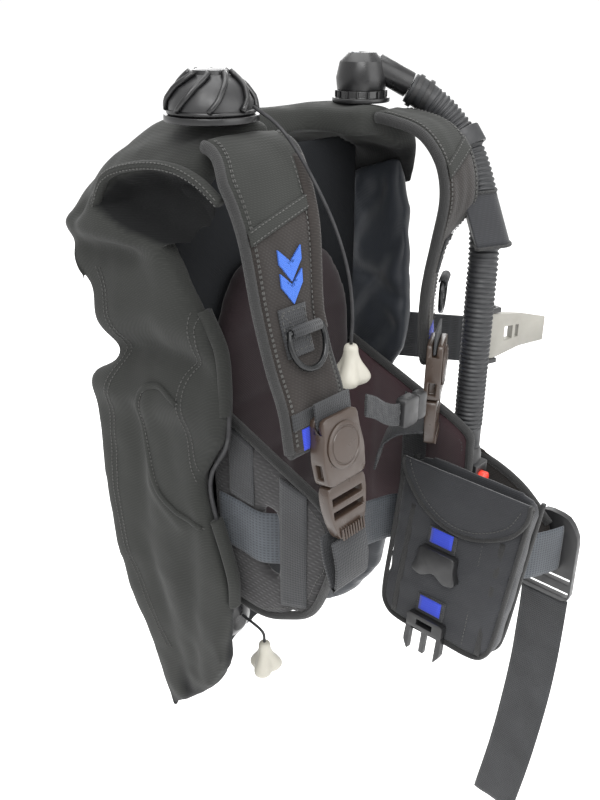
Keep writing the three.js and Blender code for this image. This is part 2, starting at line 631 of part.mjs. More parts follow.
function dumpValve(name, group, radius, height, bore) {
  const base = join(disc(radius + 3, GAP, 5, 32), disc(radius - 7, 4, 12, 24));
  add(`${name}_base`, cut(base, disc(bore, -1, 20, 24)), BLACK_PLASTIC, 0.5, 0, group);
  const wall = 3;
  const skirt = 5 + GAP;
  const cap = turned([[0, height], [radius * 0.42, height], [radius * 0.8, height * 0.78],
    [radius, height * 0.4], [radius, skirt], [radius - wall, skirt], [radius - wall, height * 0.38],
    [radius * 0.76, height * 0.66], [radius * 0.4, height - wall], [0, height - wall]], 32);
  const windows = [];
  for (let i = 0; i < 8; i += 1) {
    const window = block(radius - 8, radius + 4, -4, 4, height * 0.42, height * 0.66);
    windows.push(turnedBy(window, Z_AXIS, 22.5 + i * 45));
  }
  add(`${name}_cap`, cut(cap, ...windows), BLACK_PLASTIC, 0.3, 0, group);
}

function dumpValves() {
  const group = frameAt(DUMP_X, DUMP_Y, YOKE_TOP);
  dumpValve('dump_valve', group, CAP_RADIUS, 36, DUMP_BORE);
  const seat = DUMP_BORE + 3;
  const poppet = turned([[0, 12 + GAP], [seat, 12 + GAP], [seat, 16], [4, 16], [4, 24], [0, 24]], 20);
  add('dump_poppet', poppet, RUBBER, 0.7, 0, group);
  const coil = ringZ(9, 6, 16 + GAP, 31, 16);
  add('dump_spring', coil, STEEL, 0.35, 0.8, group);
  const [x, y, z] = KNOB_PLACES.dump;
  const cord = [[-79.5, -75.6, 279], [-73, -92, 268], [-69, -107, 252], [-60, -128, 214], [-52, -135, 188],
    [-44, -138, 160], [x - 3, y - 3, z + 28], [x, y, z + GAP + 0.2]];
  add('dump_cord', tube(cord, CORD_RADIUS, 44), RUBBER, 0.6);
  add('dump_knob', movedTo(knob(), x, y, z), GREY_PLASTIC, 0.45);

  const rear = frameAt(-76, REAR_DUMP_Y, -204, 90);
  dumpValve('rear_dump', rear, 22, REAR_DUMP_HEIGHT, 9);
  const [kx, ky, kz] = KNOB_PLACES.rearDump;
  const capFront = REAR_DUMP_Y - REAR_DUMP_HEIGHT - CORD_RADIUS - GAP;
  const rearCord = [[-74, capFront + 0.6, -196], [-72, ky + 1, -204], [kx, ky, kz + GAP + 0.2]];
  add('rear_dump_cord', tube(rearCord, CORD_RADIUS, 10), RUBBER, 0.6);
  add('rear_dump_knob', movedTo(knob(), kx, ky, kz), GREY_PLASTIC, 0.45);
}

// ---- left shoulder exhaust elbow, corrugated hose and power inflator ----
const NECK_AT = [20, 0, 25];
const NECK_TILT = 28;
const HOSE_ROUTE = [[113.8, -70.8, 279.6], [120, -79, 274], [130, -96, 259], [136, -115, 237],
  [134, -133, 209], [127, -147, 178], [119, -155, 148], [HOSE_X, HOSE_Y, 118], [HOSE_X, HOSE_Y, 40],
  [HOSE_X, HOSE_Y, HOSE_END_Z]];

function inflatorSide() {
  const group = frameAt(ELBOW_X, ELBOW_Y, YOKE_TOP, 0, -47);
  const vents = join(disc(HOOD_RADIUS + 3, GAP, 4, 32), disc(HOOD_RADIUS - 1, 3, 10, 28));
  add('exhaust_base', cut(vents, disc(EXHAUST_BORE, -1, 20, 24)), BLACK_PLASTIC, 0.5, 0, group);
  const foot = 10 + GAP;
  const dome = turned([[0, foot], [HOOD_RADIUS - 1, foot], [HOOD_RADIUS, 20], [HOOD_RADIUS - 3, 33],
    [12, 40], [0, 40]], 28);
  const neck = movedTo(turnedBy(barrel(11, 48, 20), Y_AXIS, NECK_TILT), ...NECK_AT);
  const throat = join(disc(EXHAUST_BORE, 0, 27, 24),
    movedTo(turnedBy(barrel(8, 60), Y_AXIS, NECK_TILT), ...NECK_AT));
  const roof = block(-60, 60, -60, 60, foot, 60);
  const inside = disc(HOOD_RADIUS - 4, 12, 60, 24);
  const elbow = common(join(dome, cut(neck, inside)), join(roof, block(HOOD_RADIUS, 60, -60, 60, 0, 60)));
  add('exhaust_elbow', cut(elbow, throat), BLACK_PLASTIC, 0.35, 0, group);

  add('inflator_hose', tube(HOSE_ROUTE, HOSE_RADIUS, 30, 12), RUBBER, 0.6);

  const body = frameAt(HOSE_X, HOSE_Y, HOSE_END_Z - GAP);
  const length = INFLATOR_LENGTH;
  const radius = INFLATOR_RADIUS;
  const shell = turned([[0, 0], [radius - 2, 0], [radius, -8], [radius, 12 - length], [radius - 3, -length],
    [0, -length]], 24);
  const boss = block(-10, 10, -radius - 4, 0, -44, -14);
  const buttonBore = movedTo(rod(6.4, 6.4, 20, 16), 0, -radius - 4, -28);
  const endBore = disc(8.4, -length - 1, 14 - length, 20);
  const mouth = block(-9, 9, -radius - 5, 0, -76, -60);
  add('inflator_body', cut(join(shell, boss, mouth), buttonBore, endBore), BLACK_PLASTIC, 0.4, 0, body);
  const button = movedTo(rod(6, 6, 12, 16), 0, -radius - 4, -28);
  add('inflate_button', button, RED_PLASTIC, 0.4, 0, body);
  add('deflate_button', disc(8, -length - 4, 8 - length, 20), BLACK_PLASTIC, 0.4, 0, body);
  const mouthpiece = movedTo(rod(9, 11, 16, 20), 0, -radius - 5 - GAP - 8, -68);
  add('mouthpiece', mouthpiece, RUBBER, 0.7, 0, body);
  add('air_fitting', movedTo(rod(4, 4, 16, 16), 0, radius + GAP + 8, -30), STEEL, 0.3, 0.9, body);
}

// Bands round the hose: a rubber clip, and the cloth sleeve that ties it to the strap.
function hoseBands() {
  const route = new THREE.CatmullRomCurve3(HOSE_ROUTE.map((point) => new THREE.Vector3(...point)));
  const around = (share) => {
    const group = new THREE.Group();
    group.position.copy(route.getPointAt(share));
    group.quaternion.setFromUnitVectors(new THREE.Vector3(0, 0, 1), route.getTangentAt(share));
    vest.add(group);
    return group;
  };
  const clipBore = HOSE_RADIUS + 1.2;
  add('hose_clip', ringZ(clipBore + 2.5, clipBore, -8, 8, 20), RUBBER, 0.6, 0, around(0.19));
  const sleeveBore = HOSE_RADIUS + 2;
  add('hose_sleeve', ringZ(sleeveBore + 2, sleeveBore, -21, 21, 20), WEBBING, 0.9, 0, around(0.38));
}

// ---- weight pocket with its flap and two-part buckle ----
function weightPocket() {
  const group = new THREE.Group();
  group.position.set(POCKET_X, -191, -125);
  group.rotation.y = THREE.MathUtils.degToRad(9);
  vest.add(group);
  const halfY = POCKET_WIDTH / 2;
  const halfZ = POCKET_HEIGHT / 2;
  const front = [[halfY, halfZ], [halfY + 2, -halfZ], [14 - halfY, -halfZ], [-halfY, halfZ]];
  const outline = rounded(front, 22, 4);
  const w = POCKET_WALL;
  const room = rounded([[halfY - w, halfZ + 30], [halfY - w, w + 6 - halfZ],
    [20 + w - halfY, w + 6 - halfZ], [w - halfY, halfZ + 30]], 16, 2);
  add('weight_pocket', cut(slabX(outline, 0, POCKET_DEPTH), slabX(room, w, POCKET_DEPTH - w)),
    CORDURA, 0.9, 0, group);

  const flap = [[halfY + 1, 0], [-halfY - 1, 0], [-halfY - 1, -14]];
  const curve = spline([[-halfY - 1, -14], [8 - halfY, -34], [-10, -54], [halfY - 30, -42],
    [halfY - 2, -8]], 12);
  const flapSolid = slabX([...flap, ...curve.slice(1)], -GAP - 3, -GAP);
  add('pocket_flap', movedTo(flapSolid, 0, 0, halfZ), CORDURA, 0.9, 0, group);

  const webHalf = POCKET_WEB / 2;
  const y = POCKET_BUCKLE_Y;
  const buckleHalf = webHalf + 5;
  const upper = halfZ - 56;
  add('pocket_web_upper', block(-3 - GAP, -GAP, y - webHalf, y + webHalf, upper - 20, upper - 1),
    WEBBING, 0.9, 0, group);
  const swingGap = 2 * GAP;
  const socketTop = upper - 20 - swingGap;
  const socket = [[y - buckleHalf, socketTop], [y + buckleHalf, socketTop],
    [y + buckleHalf, socketTop - 14], [y + buckleHalf + 5, socketTop - 26], [y + webHalf - 2, socketTop - 30], [y, socketTop - 22],
    [y - webHalf + 2, socketTop - 30], [y - buckleHalf - 5, socketTop - 26], [y - buckleHalf, socketTop - 14]];
  add('pocket_socket', slabX(rounded(socket, 4, 2), -10, -GAP), BLACK_PLASTIC, 0.45, 0, group);

  const lower = 6 - halfZ + 34;
  add('pocket_web_lower', block(-3 - GAP, -GAP, y - webHalf, y + webHalf, lower - 20, lower),
    WEBBING, 0.9, 0, group);
  const plugTop = lower - 20 - swingGap;
  const bar = rounded([[y - buckleHalf, plugTop], [y + buckleHalf, plugTop], [y + buckleHalf, plugTop - 14],
    [y - buckleHalf, plugTop - 14]], 3, 2);
  const window = block(-12, 2, y - webHalf + 6, y + webHalf - 6, plugTop - 10, plugTop - 4);
  const prong = (sign) => slabX(rounded([[y + sign * (buckleHalf - 5), plugTop - 12],
    [y + sign * buckleHalf, plugTop - 12], [y + sign * (buckleHalf + 1), plugTop - 32],
    [y + sign * (buckleHalf - 5), plugTop - 42]], 3, 2), -8, -GAP - 1);
  const guide = block(-7, -GAP - 2, y - 2.5, y + 2.5, plugTop - 38, plugTop - 12);
  const frame = cut(slabX(bar, -9, -GAP), window);
  add('pocket_plug', join(frame, prong(1), prong(-1), guide), BLACK_PLASTIC, 0.45, 0, group);
}

// ---- elastic cord along the right lobe's front edge ----
function bungee() {
  const x = -LOBE_INNER_X - 6;
  const route = [[x, -60, 134], [x, -78, 100], [x, -79.8, 60], [x, -77, 24], [x, -56, -12], [x, -53, -30],
    [x, -64, -72], [x, -78, -124]];
  add('bungee_cord', tube(route, 2, 26), RUBBER, 0.6);
}

backpack();
tankBand();
airCell();
shoulderStraps();
sidePanels();
waist();
dRings();
shoulderBuckles();
chestStrap();
dumpValves();
inflatorSide();
hoseBands();
weightPocket();
bungee();

export default vest;
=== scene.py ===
import json
import math

import bmesh
import bpy
import numpy as np
from mathutils import Matrix, Vector, noise
from mathutils.bvhtree import BVHTree


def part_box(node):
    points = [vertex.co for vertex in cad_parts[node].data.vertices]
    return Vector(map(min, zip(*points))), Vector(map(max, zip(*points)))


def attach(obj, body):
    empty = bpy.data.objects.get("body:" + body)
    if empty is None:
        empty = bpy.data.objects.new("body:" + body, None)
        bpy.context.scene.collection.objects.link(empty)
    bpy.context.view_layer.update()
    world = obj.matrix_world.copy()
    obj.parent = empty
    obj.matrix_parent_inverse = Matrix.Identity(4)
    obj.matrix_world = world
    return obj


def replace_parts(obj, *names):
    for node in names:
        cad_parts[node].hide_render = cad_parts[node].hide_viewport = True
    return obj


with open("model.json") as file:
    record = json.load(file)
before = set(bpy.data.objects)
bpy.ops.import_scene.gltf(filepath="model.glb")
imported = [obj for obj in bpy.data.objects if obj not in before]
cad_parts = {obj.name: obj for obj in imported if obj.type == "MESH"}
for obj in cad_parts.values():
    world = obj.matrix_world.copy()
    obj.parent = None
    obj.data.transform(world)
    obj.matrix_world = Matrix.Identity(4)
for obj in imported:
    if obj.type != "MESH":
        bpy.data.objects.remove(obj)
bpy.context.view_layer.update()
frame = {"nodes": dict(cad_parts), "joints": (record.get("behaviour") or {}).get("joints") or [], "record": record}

NODES = frame["nodes"]
BODY_OF = {name: body for body, names in frame["record"]["behaviour"]["bodies"].items() for name in names}
MM = 0.001


def mm(*point):
    return Vector(point) * MM


# ---- camera ----
camera_data = bpy.data.cameras.new("camera")
camera_data.lens = 38.25
camera_data.sensor_width = 36
camera = bpy.data.objects.new("camera", camera_data)
camera.location = mm(-521.4, -532.9, 345.4)
camera.rotation_euler = Vector((0.663, 0.618, -0.423)).to_track_quat("-Z", "Y").to_euler()
bpy.context.scene.collection.objects.link(camera)
bpy.context.scene.camera = camera


# ---- materials ----
def rgb(code):
    parts = [int(code[i:i + 2], 16) / 255 for i in (0, 2, 4)]
    return [c / 12.92 if c < 0.04045 else ((c + 0.055) / 1.055) ** 2.4 for c in parts] + [1]


def scaled(colour, factor):
    return [min(c * factor, 1) for c in colour[:3]] + [1]


class Shader:
    def __init__(self, name, roughness, metallic=0.0, sheen=0.0, specular=0.5):
        self.material = bpy.data.materials.new(name)
        self.material.use_nodes = True
        self.tree = self.material.node_tree
        self.bsdf = self.tree.nodes["Principled BSDF"]
        self.bsdf.inputs["Roughness"].default_value = roughness
        self.bsdf.inputs["Metallic"].default_value = metallic
        self.bsdf.inputs["Sheen Weight"].default_value = sheen
        self.bsdf.inputs["Sheen Roughness"].default_value = 0.5
        self.bsdf.inputs["Specular IOR Level"].default_value = specular
        self.where = self.node("ShaderNodeTexCoord")

    def node(self, kind, **values):
        node = self.tree.nodes.new(kind)
        for key, value in values.items():
            setattr(node, key, value)
        return node

    def link(self, a, b):
        self.tree.links.new(a, b)

    def noise(self, scale, detail=4.0, source="Object"):
        node = self.node("ShaderNodeTexNoise")
        node.inputs["Scale"].default_value = scale
        node.inputs["Detail"].default_value = detail
        self.link(self.where.outputs[source], node.inputs["Vector"])
        return node.outputs["Fac"]

    def wave(self, period, direction, source="Object", distortion=0.0, profile="SIN"):
        node = self.node("ShaderNodeTexWave", wave_type="BANDS", wave_profile=profile)
        node.bands_direction = direction
        node.inputs["Scale"].default_value = 2 * math.pi / (20 * period)
        node.inputs["Distortion"].default_value = distortion
        self.link(self.where.outputs[source], node.inputs["Vector"])
        return node.outputs["Fac"]

    def mix(self, a, b, mode="MULTIPLY"):
        node = self.node("ShaderNodeMath", operation=mode)
        self.link(a, node.inputs[0])
        self.link(b, node.inputs[1])
        return node.outputs[0]

    def ramp(self, factor, stops):
        node = self.node("ShaderNodeValToRGB")
        node.color_ramp.elements[0].position = stops[0][0]
        node.color_ramp.elements[0].color = stops[0][1]
        node.color_ramp.elements[1].position = stops[-1][0]
        node.color_ramp.elements[1].color = stops[-1][1]
        for position, colour in stops[1:-1]:
            node.color_ramp.elements.new(position).color = colour
        self.link(factor, node.inputs["Fac"])
        return node.outputs["Color"]

    def base(self, colour):
        self.link(colour, self.bsdf.inputs["Base Color"])

    def tint(self, a, b, factor):
        node = self.node("ShaderNodeMix", data_type="RGBA", blend_type="MULTIPLY")
        node.inputs["Factor"].default_value = factor
        self.link(a, node.inputs[6])
        self.link(b, node.inputs[7])
        return node.outputs[2]

    def bump(self, heights):
        last = None
        for height, strength, distance in heights:
            node = self.node("ShaderNodeBump")
            node.inputs["Strength"].default_value = strength
            node.inputs["Distance"].default_value = distance
            self.link(height, node.inputs["Height"])
            if last is not None:
                self.link(last, node.inputs["Normal"])
            last = node.outputs["Normal"]
        self.link(last, self.bsdf.inputs["Normal"])


def cloth(name, code, period=0.0016, rough=0.86, weave=0.5, spread=0.22, sheen=0.15, shaded=False):
    shader = Shader(name, rough, sheen=sheen, specular=0.25)
    colour = rgb(code)
    broad = shader.noise(9, 6)
    tone = shader.ramp(broad, [(0.3, scaled(colour, 1 - spread)), (0.7, scaled(colour, 1 + spread))])
    across = shader.wave(period, "DIAGONAL")
    up = shader.wave(period, "Z")
    woven = shader.mix(across, up)
    fibre = shader.noise(1400, 3)
    grey = shader.ramp(woven, [(0.0, [0.72, 0.72, 0.72, 1]), (0.9, [1, 1, 1, 1])])
    colour = shader.tint(tone, grey, 1.0)
    # Painted shade: where the "inside" point attribute is high, the cloth's colour is darkened towards blue-black.
    if shaded:
        painted = shader.node("ShaderNodeAttribute", attribute_name="inside").outputs["Fac"]
        recess = shader.ramp(painted, [(0.1, [1, 1, 1, 1]), (0.7, [0.06, 0.07, 0.09, 1])])
        colour = shader.tint(colour, recess, 1.0)
    shader.base(colour)
    shader.bump([(woven, weave, 0.0004), (fibre, 0.25, 0.0002), (broad, 0.3, 0.002)])
    return shader.material


def ribbed(name, code, period=0.0024, rough=0.75, spread=0.2):
    shader = Shader(name, rough, sheen=0.1, specular=0.3)
    colour = rgb(code)
    broad = shader.noise(26, 5)
    tone = shader.ramp(broad, [(0.3, scaled(colour, 1 - spread)), (0.7, scaled(colour, 1 + spread))])
    ribs = shader.wave(period, "Y", "UV", 0.0, "TRI")
    yarn = shader.wave(period * 0.8, "X", "UV")
    weft = shader.mix(ribs, yarn, "MAXIMUM")
    grey = shader.ramp(weft, [(0.15, [0.45, 0.45, 0.45, 1]), (0.8, [1, 1, 1, 1])])
    shader.base(shader.tint(tone, grey, 1.0))
    shader.bump([(weft, 0.7, 0.0006), (shader.noise(1500, 2), 0.2, 0.0002)])
    return shader.material


def moulded(name, code, rough=0.4, grain=0.15, metallic=0.0, spread=0.12):
    shader = Shader(name, rough, metallic)
    colour = rgb(code)
    broad = shader.noise(40, 5)
    shader.base(shader.ramp(broad, [(0.3, scaled(colour, 1 - spread)), (0.72, scaled(colour, 1 + spread))]))
    shader.bump([(shader.noise(2600, 2), grain, 0.0001), (broad, 0.08, 0.0006)])
    worn = shader.ramp(shader.noise(120, 6),
                       [(0.35, [rough * 0.8] * 3 + [1]), (0.75, [rough * 1.3] * 3 + [1])])
    shader.link(worn, shader.bsdf.inputs["Roughness"])
    return shader.material


CORDURA = cloth("cordura", "2b2c2a", 0.0015, 0.9, 0.4, 0.18, 0.05)
COATED = cloth("coated_cloth", "2b2e33", 0.0010, 0.45, 0.3, 0.25, 0.05)
WING = cloth("wing_cloth", "2b2c2a", 0.0015, 0.9, 0.4, 0.18, 0.05, shaded=True)
# Darker copy of the coated cloth for the panel inside the vest: partly the inner cloth's own dark colour, partly
# painted shade.
INSIDE = cloth("inner_cloth", "16181b", 0.0012, 0.85, 0.3, 0.2, 0.0)
PAD = cloth("pad_cloth", "251b1e", 0.0011, 0.95, 0.3, 0.25, 0.1)
STRAP = cloth("strap_cloth", "262220", 0.0018, 0.9, 0.5)
LINING = cloth("lining_cloth", "3c2a2e", 0.0011, 0.95, 0.3, 0.25, 0.25)
SPACER = cloth("spacer_mesh", "2b2a2b", 0.0036, 0.85, 0.9)
POUCH = cloth("pouch_cloth", "2c2d30", 0.0014, 0.8, 0.5)
BLUE = cloth("blue_cloth", "2c3fb4", 0.0012, 0.7, 0.4, 0.12)
THREAD_BLUE = cloth("blue_thread", "3463bd", 0.0010, 0.6, 0.7, 0.1)
WEBBING = ribbed("webbing", "2c2d2f")
GREY_WEB = ribbed("grey_webbing", "3f4348", 0.0034)
TAPE = ribbed("binding_tape", "242424", 0.0016)
THREAD = cloth("thread", "4a4a48", 0.0008, 0.8, 0.3)
BLACK = moulded("black_moulding", "1c1c1d", 0.42)
GLOSS = moulded("gloss_moulding", "111112", 0.33, 0.05)
BROWN = moulded("brown_moulding", "352a23", 0.34, 0.08)
LIGHT = moulded("light_moulding", "9d9a90", 0.5, 0.1, 0.0, 0.06)
GREY_LEVER = moulded("lever_moulding", "84827b", 0.5, 0.2, 0.0, 0.08)
RED = moulded("red_moulding", "d23a2b", 0.35)
RUBBER = moulded("rubber", "1f2022", 0.55, 0.3)
ELASTIC = moulded("cord_sheath", "1b1b1d", 0.7, 0.5)
STEEL = moulded("steel", "9b9da1", 0.3, 0.1, 1.0)
BLACK_METAL = moulded("black_metal", "1b1c1d", 0.28, 0.1, 0.4)


# ---- making pieces ----
def piece(name, verts, faces, material, body, smooth=True, uv=None):
    mesh = bpy.data.meshes.new(name)
    mesh.from_pydata([tuple(v) for v in verts], [], faces)
    mesh.materials.append(material)
    if uv is not None:
        layer = mesh.uv_layers.new(name="UVMap")
        for loop in mesh.loops:
            layer.data[loop.index].uv = uv[loop.vertex_index]
    mesh.validate()
    tidied = bmesh.new()
    tidied.from_mesh(mesh)
    bmesh.ops.recalc_face_normals(tidied, faces=tidied.faces)
    tidied.to_mesh(mesh)
    tidied.free()
    mesh.shade_smooth() if smooth else mesh.shade_flat()
    return placed(bpy.data.objects.new(name, mesh), body)


def placed(obj, body):
    if obj.name not in bpy.context.scene.collection.objects:
        bpy.context.scene.collection.objects.link(obj)
    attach(obj, body)
    return obj


def evaluated(obj, name):
    """The object's mesh with its modifiers applied, as a new mesh."""
    bpy.context.view_layer.update()
    graph = bpy.context.evaluated_depsgraph_get()
    mesh = bpy.data.meshes.new_from_object(obj.evaluated_get(graph))
    mesh.name = name
    return mesh


def copy_with(nodes, name, modifiers):
    """One or more CAD nodes' meshes together, after some modifiers, as a new mesh."""
    source = bpy.data.meshes.new("source")
    gathered = bmesh.new()
    for node in nodes if isinstance(nodes, tuple) else (nodes,):
        gathered.from_mesh(NODES[node].data)
    gathered.to_mesh(source)
    gathered.free()
    holder = bpy.data.objects.new("holder", source)
    bpy.context.scene.collection.objects.link(holder)
    weld = holder.modifiers.new("weld", "WELD")
    weld.merge_threshold = 0.00002
    for kind, values in modifiers:
        modifier = holder.modifiers.new(kind.lower(), kind)
        for key, value in values.items():
            setattr(modifier, key, value)
    mesh = evaluated(holder, name)
    bpy.data.objects.remove(holder)
    bpy.data.meshes.remove(source)
    return mesh


def slot_of(node):
    return next(p["material_slot"] for p in frame["record"]["subparts"] if p["node"] == node)


def bevelled(node, material, width=0.8, segments=2, angle=28):
    """A hard piece: its CAD shape with flat faces merged and its edges rounded."""
    mesh = copy_with(node, node + "_shape", [
        ("DECIMATE", {"decimate_type": "DISSOLVE", "angle_limit": math.radians(2)}),
        ("BEVEL", {"width": width * MM, "segments": segments, "limit_method": "ANGLE",
                   "angle_limit": math.radians(angle), "harden_normals": False}),
        ("TRIANGULATE", {}),
    ])
    mesh.materials.clear()
    mesh.materials.append(material)
    mesh.shade_smooth()
    mesh.set_sharp_from_angle(angle=math.radians(40))
    obj = placed(bpy.data.objects.new(node + "_part", mesh), BODY_OF[node])
    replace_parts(obj, node)
    return obj


def neighbours(mesh):
    count = len(mesh.edges)
    edges = np.empty(count * 2, dtype=np.int64)
    mesh.edges.foreach_get("vertices", edges)
    return edges.reshape(count, 2)


def coordinates(mesh):
    points = np.empty(len(mesh.vertices) * 3)
    mesh.vertices.foreach_get("co", points)
    return points.reshape(-1, 3)


def store(mesh, points):
    mesh.vertices.foreach_set("co", points.ravel())
    mesh.update()


def relax(mesh, times, share=0.5):
    points = coordinates(mesh)
    edges = neighbours(mesh)
    degree = np.zeros(len(points))
    np.add.at(degree, edges[:, 0], 1)
    np.add.at(degree, edges[:, 1], 1)
    degree = np.maximum(degree, 1)[:, None]
    for _ in range(times):
        total = np.zeros_like(points)
        np.add.at(total, edges[:, 0], points[edges[:, 1]])
        np.add.at(total, edges[:, 1], points[edges[:, 0]])
        points = points * (1 - share) + (total / degree) * share
    store(mesh, points)


def normals(mesh):
    values = np.empty(len(mesh.vertices) * 3)
    mesh.vertex_normals.foreach_get("vector", values)
    return values.reshape(-1, 3)


def crease(points, line, width, depth):
    """Depth of a fold that follows a line of points in mm, falling off on both sides."""
    nearest = np.full(len(points), 1e9)
    for a, b in zip(line, line[1:]):
        a, b = np.array(a) * MM, np.array(b) * MM
        along = b - a
        share = np.clip(((points - a) @ along) / (along @ along), 0, 1)
        nearest = np.minimum(nearest, np.linalg.norm(points - a - share[:, None] * along, axis=1))
    return depth * MM * np.exp(-(nearest / (width * MM)) ** 2)


def rumple(points, size, depth, stretch=(1, 1, 1), seed=0.0):
    values = []
    for x, y, z in points:
        place = Vector((x * stretch[0] + seed, y * stretch[1], z * stretch[2])) / (size * MM)
        values.append(noise.fractal(place, 1.0, 2.0, 3))
    return np.array(values) * depth * MM


def softened(node, material, voxel=5.0, smooth=6, move=None, subdivide=0, name=None, drape=None):
    """A soft piece: its CAD shape remeshed, relaxed, draped, then moved along its normals into folds."""
    nodes = node if isinstance(node, tuple) else (node,)
    node = nodes[0]
    name = name or node + "_cloth"
    mesh = copy_with(nodes, name, [("REMESH", {"mode": "VOXEL", "voxel_size": voxel * MM})])
    relax(mesh, smooth)
    if drape is not None:
        store(mesh, drape(coordinates(mesh)))
        relax(mesh, 2)
    if move is not None:
        points = coordinates(mesh)
        store(mesh, points + normals(mesh) * move(points)[:, None])
        relax(mesh, 2, 0.45)
    mesh.materials.clear()
    mesh.materials.append(material)
    mesh.shade_smooth()
    obj = placed(bpy.data.objects.new(name, mesh), BODY_OF[node])
    if subdivide:
        obj.modifiers.new("fine", "SUBSURF").levels = subdivide
        obj.modifiers["fine"].render_levels = subdivide
    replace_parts(obj, *nodes)
    return obj


def catmull(points, count):
    """An even walk along a smooth curve through the points."""
    points = [Vector(p) for p in points]
    points = [points[0] * 2 - points[1]] + points + [points[-1] * 2 - points[-2]]
    dense = []
    for p0, p1, p2, p3 in zip(points, points[1:], points[2:], points[3:]):
        t0 = 0.0
        t1 = t0 + max((p1 - p0).length, 1e-9) ** 0.5
        t2 = t1 + max((p2 - p1).length, 1e-9) ** 0.5
        t3 = t2 + max((p3 - p2).length, 1e-9) ** 0.5
        for k in range(24):
            t = t1 + (t2 - t1) * k / 24
            a1 = p0 * ((t1 - t) / (t1 - t0)) + p1 * ((t - t0) / (t1 - t0))
            a2 = p1 * ((t2 - t) / (t2 - t1)) + p2 * ((t - t1) / (t2 - t1))
            a3 = p2 * ((t3 - t) / (t3 - t2)) + p3 * ((t - t2) / (t3 - t2))
            b1 = a1 * ((t2 - t) / (t2 - t0)) + a2 * ((t - t0) / (t2 - t0))
            b2 = a2 * ((t3 - t) / (t3 - t1)) + a3 * ((t - t1) / (t3 - t1))
            dense.append(b1 * ((t2 - t) / (t2 - t1)) + b2 * ((t - t1) / (t2 - t1)))
    dense.append(points[-2])
    lengths = [0.0]
    for a, b in zip(dense, dense[1:]):
        lengths.append(lengths[-1] + (b - a).length)
    walk = []
    i = 0
    for k in range(count):
        target = lengths[-1] * k / (count - 1)
        while i < len(lengths) - 2 and lengths[i + 1] < target:
            i += 1
        share = (target - lengths[i]) / max(lengths[i + 1] - lengths[i], 1e-9)
        walk.append(dense[i].lerp(dense[i + 1], min(max(share, 0), 1)))
    return walk


def length_of(points):
    return sum((b - a).length for a, b in zip(points, points[1:]))


def frames_along(points, up=Vector((0, 0, 1))):
    """Two cross directions at each point, carried along without twisting."""
    tangents = [(points[min(i + 1, len(points) - 1)] - points[max(i - 1, 0)]).normalized()
                for i in range(len(points))]
    side = tangents[0].cross(up)
    if side.length < 0.1:
        side = tangents[0].cross(Vector((1, 0, 0)))
    side.normalize()
    result = []
    for tangent in tangents:
        side = (side - tangent * side.dot(tangent)).normalized()
        result.append((side, tangent.cross(side).normalized()))
    return result


def sweep(name, points, section, material, body, closed=False, uv_scale=1.0):
    """A section carried along points in metres; section(i) lists its (side, front) corners."""
    cross = frames_along(points)
    ring = len(section(0))
    verts, faces, uv = [], [], []
    run = 0.0
    for i, point in enumerate(points):
        if i:
            run += (point - points[i - 1]).length
        for k, (a, b) in enumerate(section(i)):
            verts.append(point + cross[i][0] * a + cross[i][1] * b)
            uv.append((0.03 * k / ring * uv_scale, run))
    rows = len(points)
    for i in range(rows if closed else rows - 1):
        j = (i + 1) % rows
        for k in range(ring):
            n = (k + 1) % ring
            faces.append((i * ring + k, i * ring + n, j * ring + n, j * ring + k))
    if not closed:
        faces.append(tuple(reversed(range(ring))))
        faces.append(tuple((rows - 1) * ring + k for k in range(ring)))
    return piece(name, verts, faces, material, body, True, uv)


def oval(a, b, sides=10):
    turns = [2 * math.pi * k / sides for k in range(sides)]
    return [(a * math.cos(turn), b * math.sin(turn)) for turn in turns]


def tube(name, points, radius, material, body, sides=10, closed=False):
    section = oval(radius, radius, sides)
    return sweep(name, points, lambda i: section, material, body, closed)


def lathe(name, profile, material, matrix, body, sides=48, shape=None):
    """A turned piece from (radius, height) in mm; shape(angle, height) scales the radius."""
    verts, faces = [], []
    for r, z in profile:
        for k in range(sides):
            angle = 2 * math.pi * k / sides
            radius = r * (shape(angle, z) if shape else 1)
            verts.append(matrix @ mm(radius * math.cos(angle), radius * math.sin(angle), z))
    for i in range(len(profile) - 1):
        for k in range(sides):
            n = (k + 1) % sides
            faces.append((i * sides + k, i * sides + n, (i + 1) * sides + n, (i + 1) * sides + k))
    faces.append(tuple(reversed(range(sides))))
    faces.append(tuple((len(profile) - 1) * sides + k for k in range(sides)))
    obj = piece(name, verts, faces, material, body)
    obj.data.set_sharp_from_angle(angle=math.radians(45))
    return obj


def stitches(name, points, material, body, spacing=3.6, length=2.4, radius=0.42):
    """A row of thread stitches along points in metres."""
    walk = catmull(points, max(int(length_of(points) / (spacing * MM)), 2))
    verts, faces = [], []
    for a, b in zip(walk, walk[1:]):
        along = (b - a).normalized()
        middle = (a + b) / 2
        side = along.cross(Vector((0.3, 0.5, 0.8))).normalized() * radius * MM
        up = along.cross(side).normalized() * radius * MM
        start = len(verts)
        for share in (-0.5, -0.3, 0.3, 0.5):
            size = 0.45 if abs(share) > 0.4 else 1
            for k in range(6):
                angle = math.pi * k / 3
                verts.append(middle + along * length * MM * share
                             + (side * math.cos(angle) + up * math.sin(angle)) * size)
        for row in range(3):
            for k in range(6):
                n = (k + 1) % 6
                faces.append((start + row * 6 + k, start + row * 6 + n,
                              start + row * 6 + 6 + n, start + row * 6 + 6 + k))
        faces.append(tuple(start + k for k in reversed(range(6))))
        faces.append(tuple(start + 18 + k for k in range(6)))
    return piece(name, verts, faces, material, body)


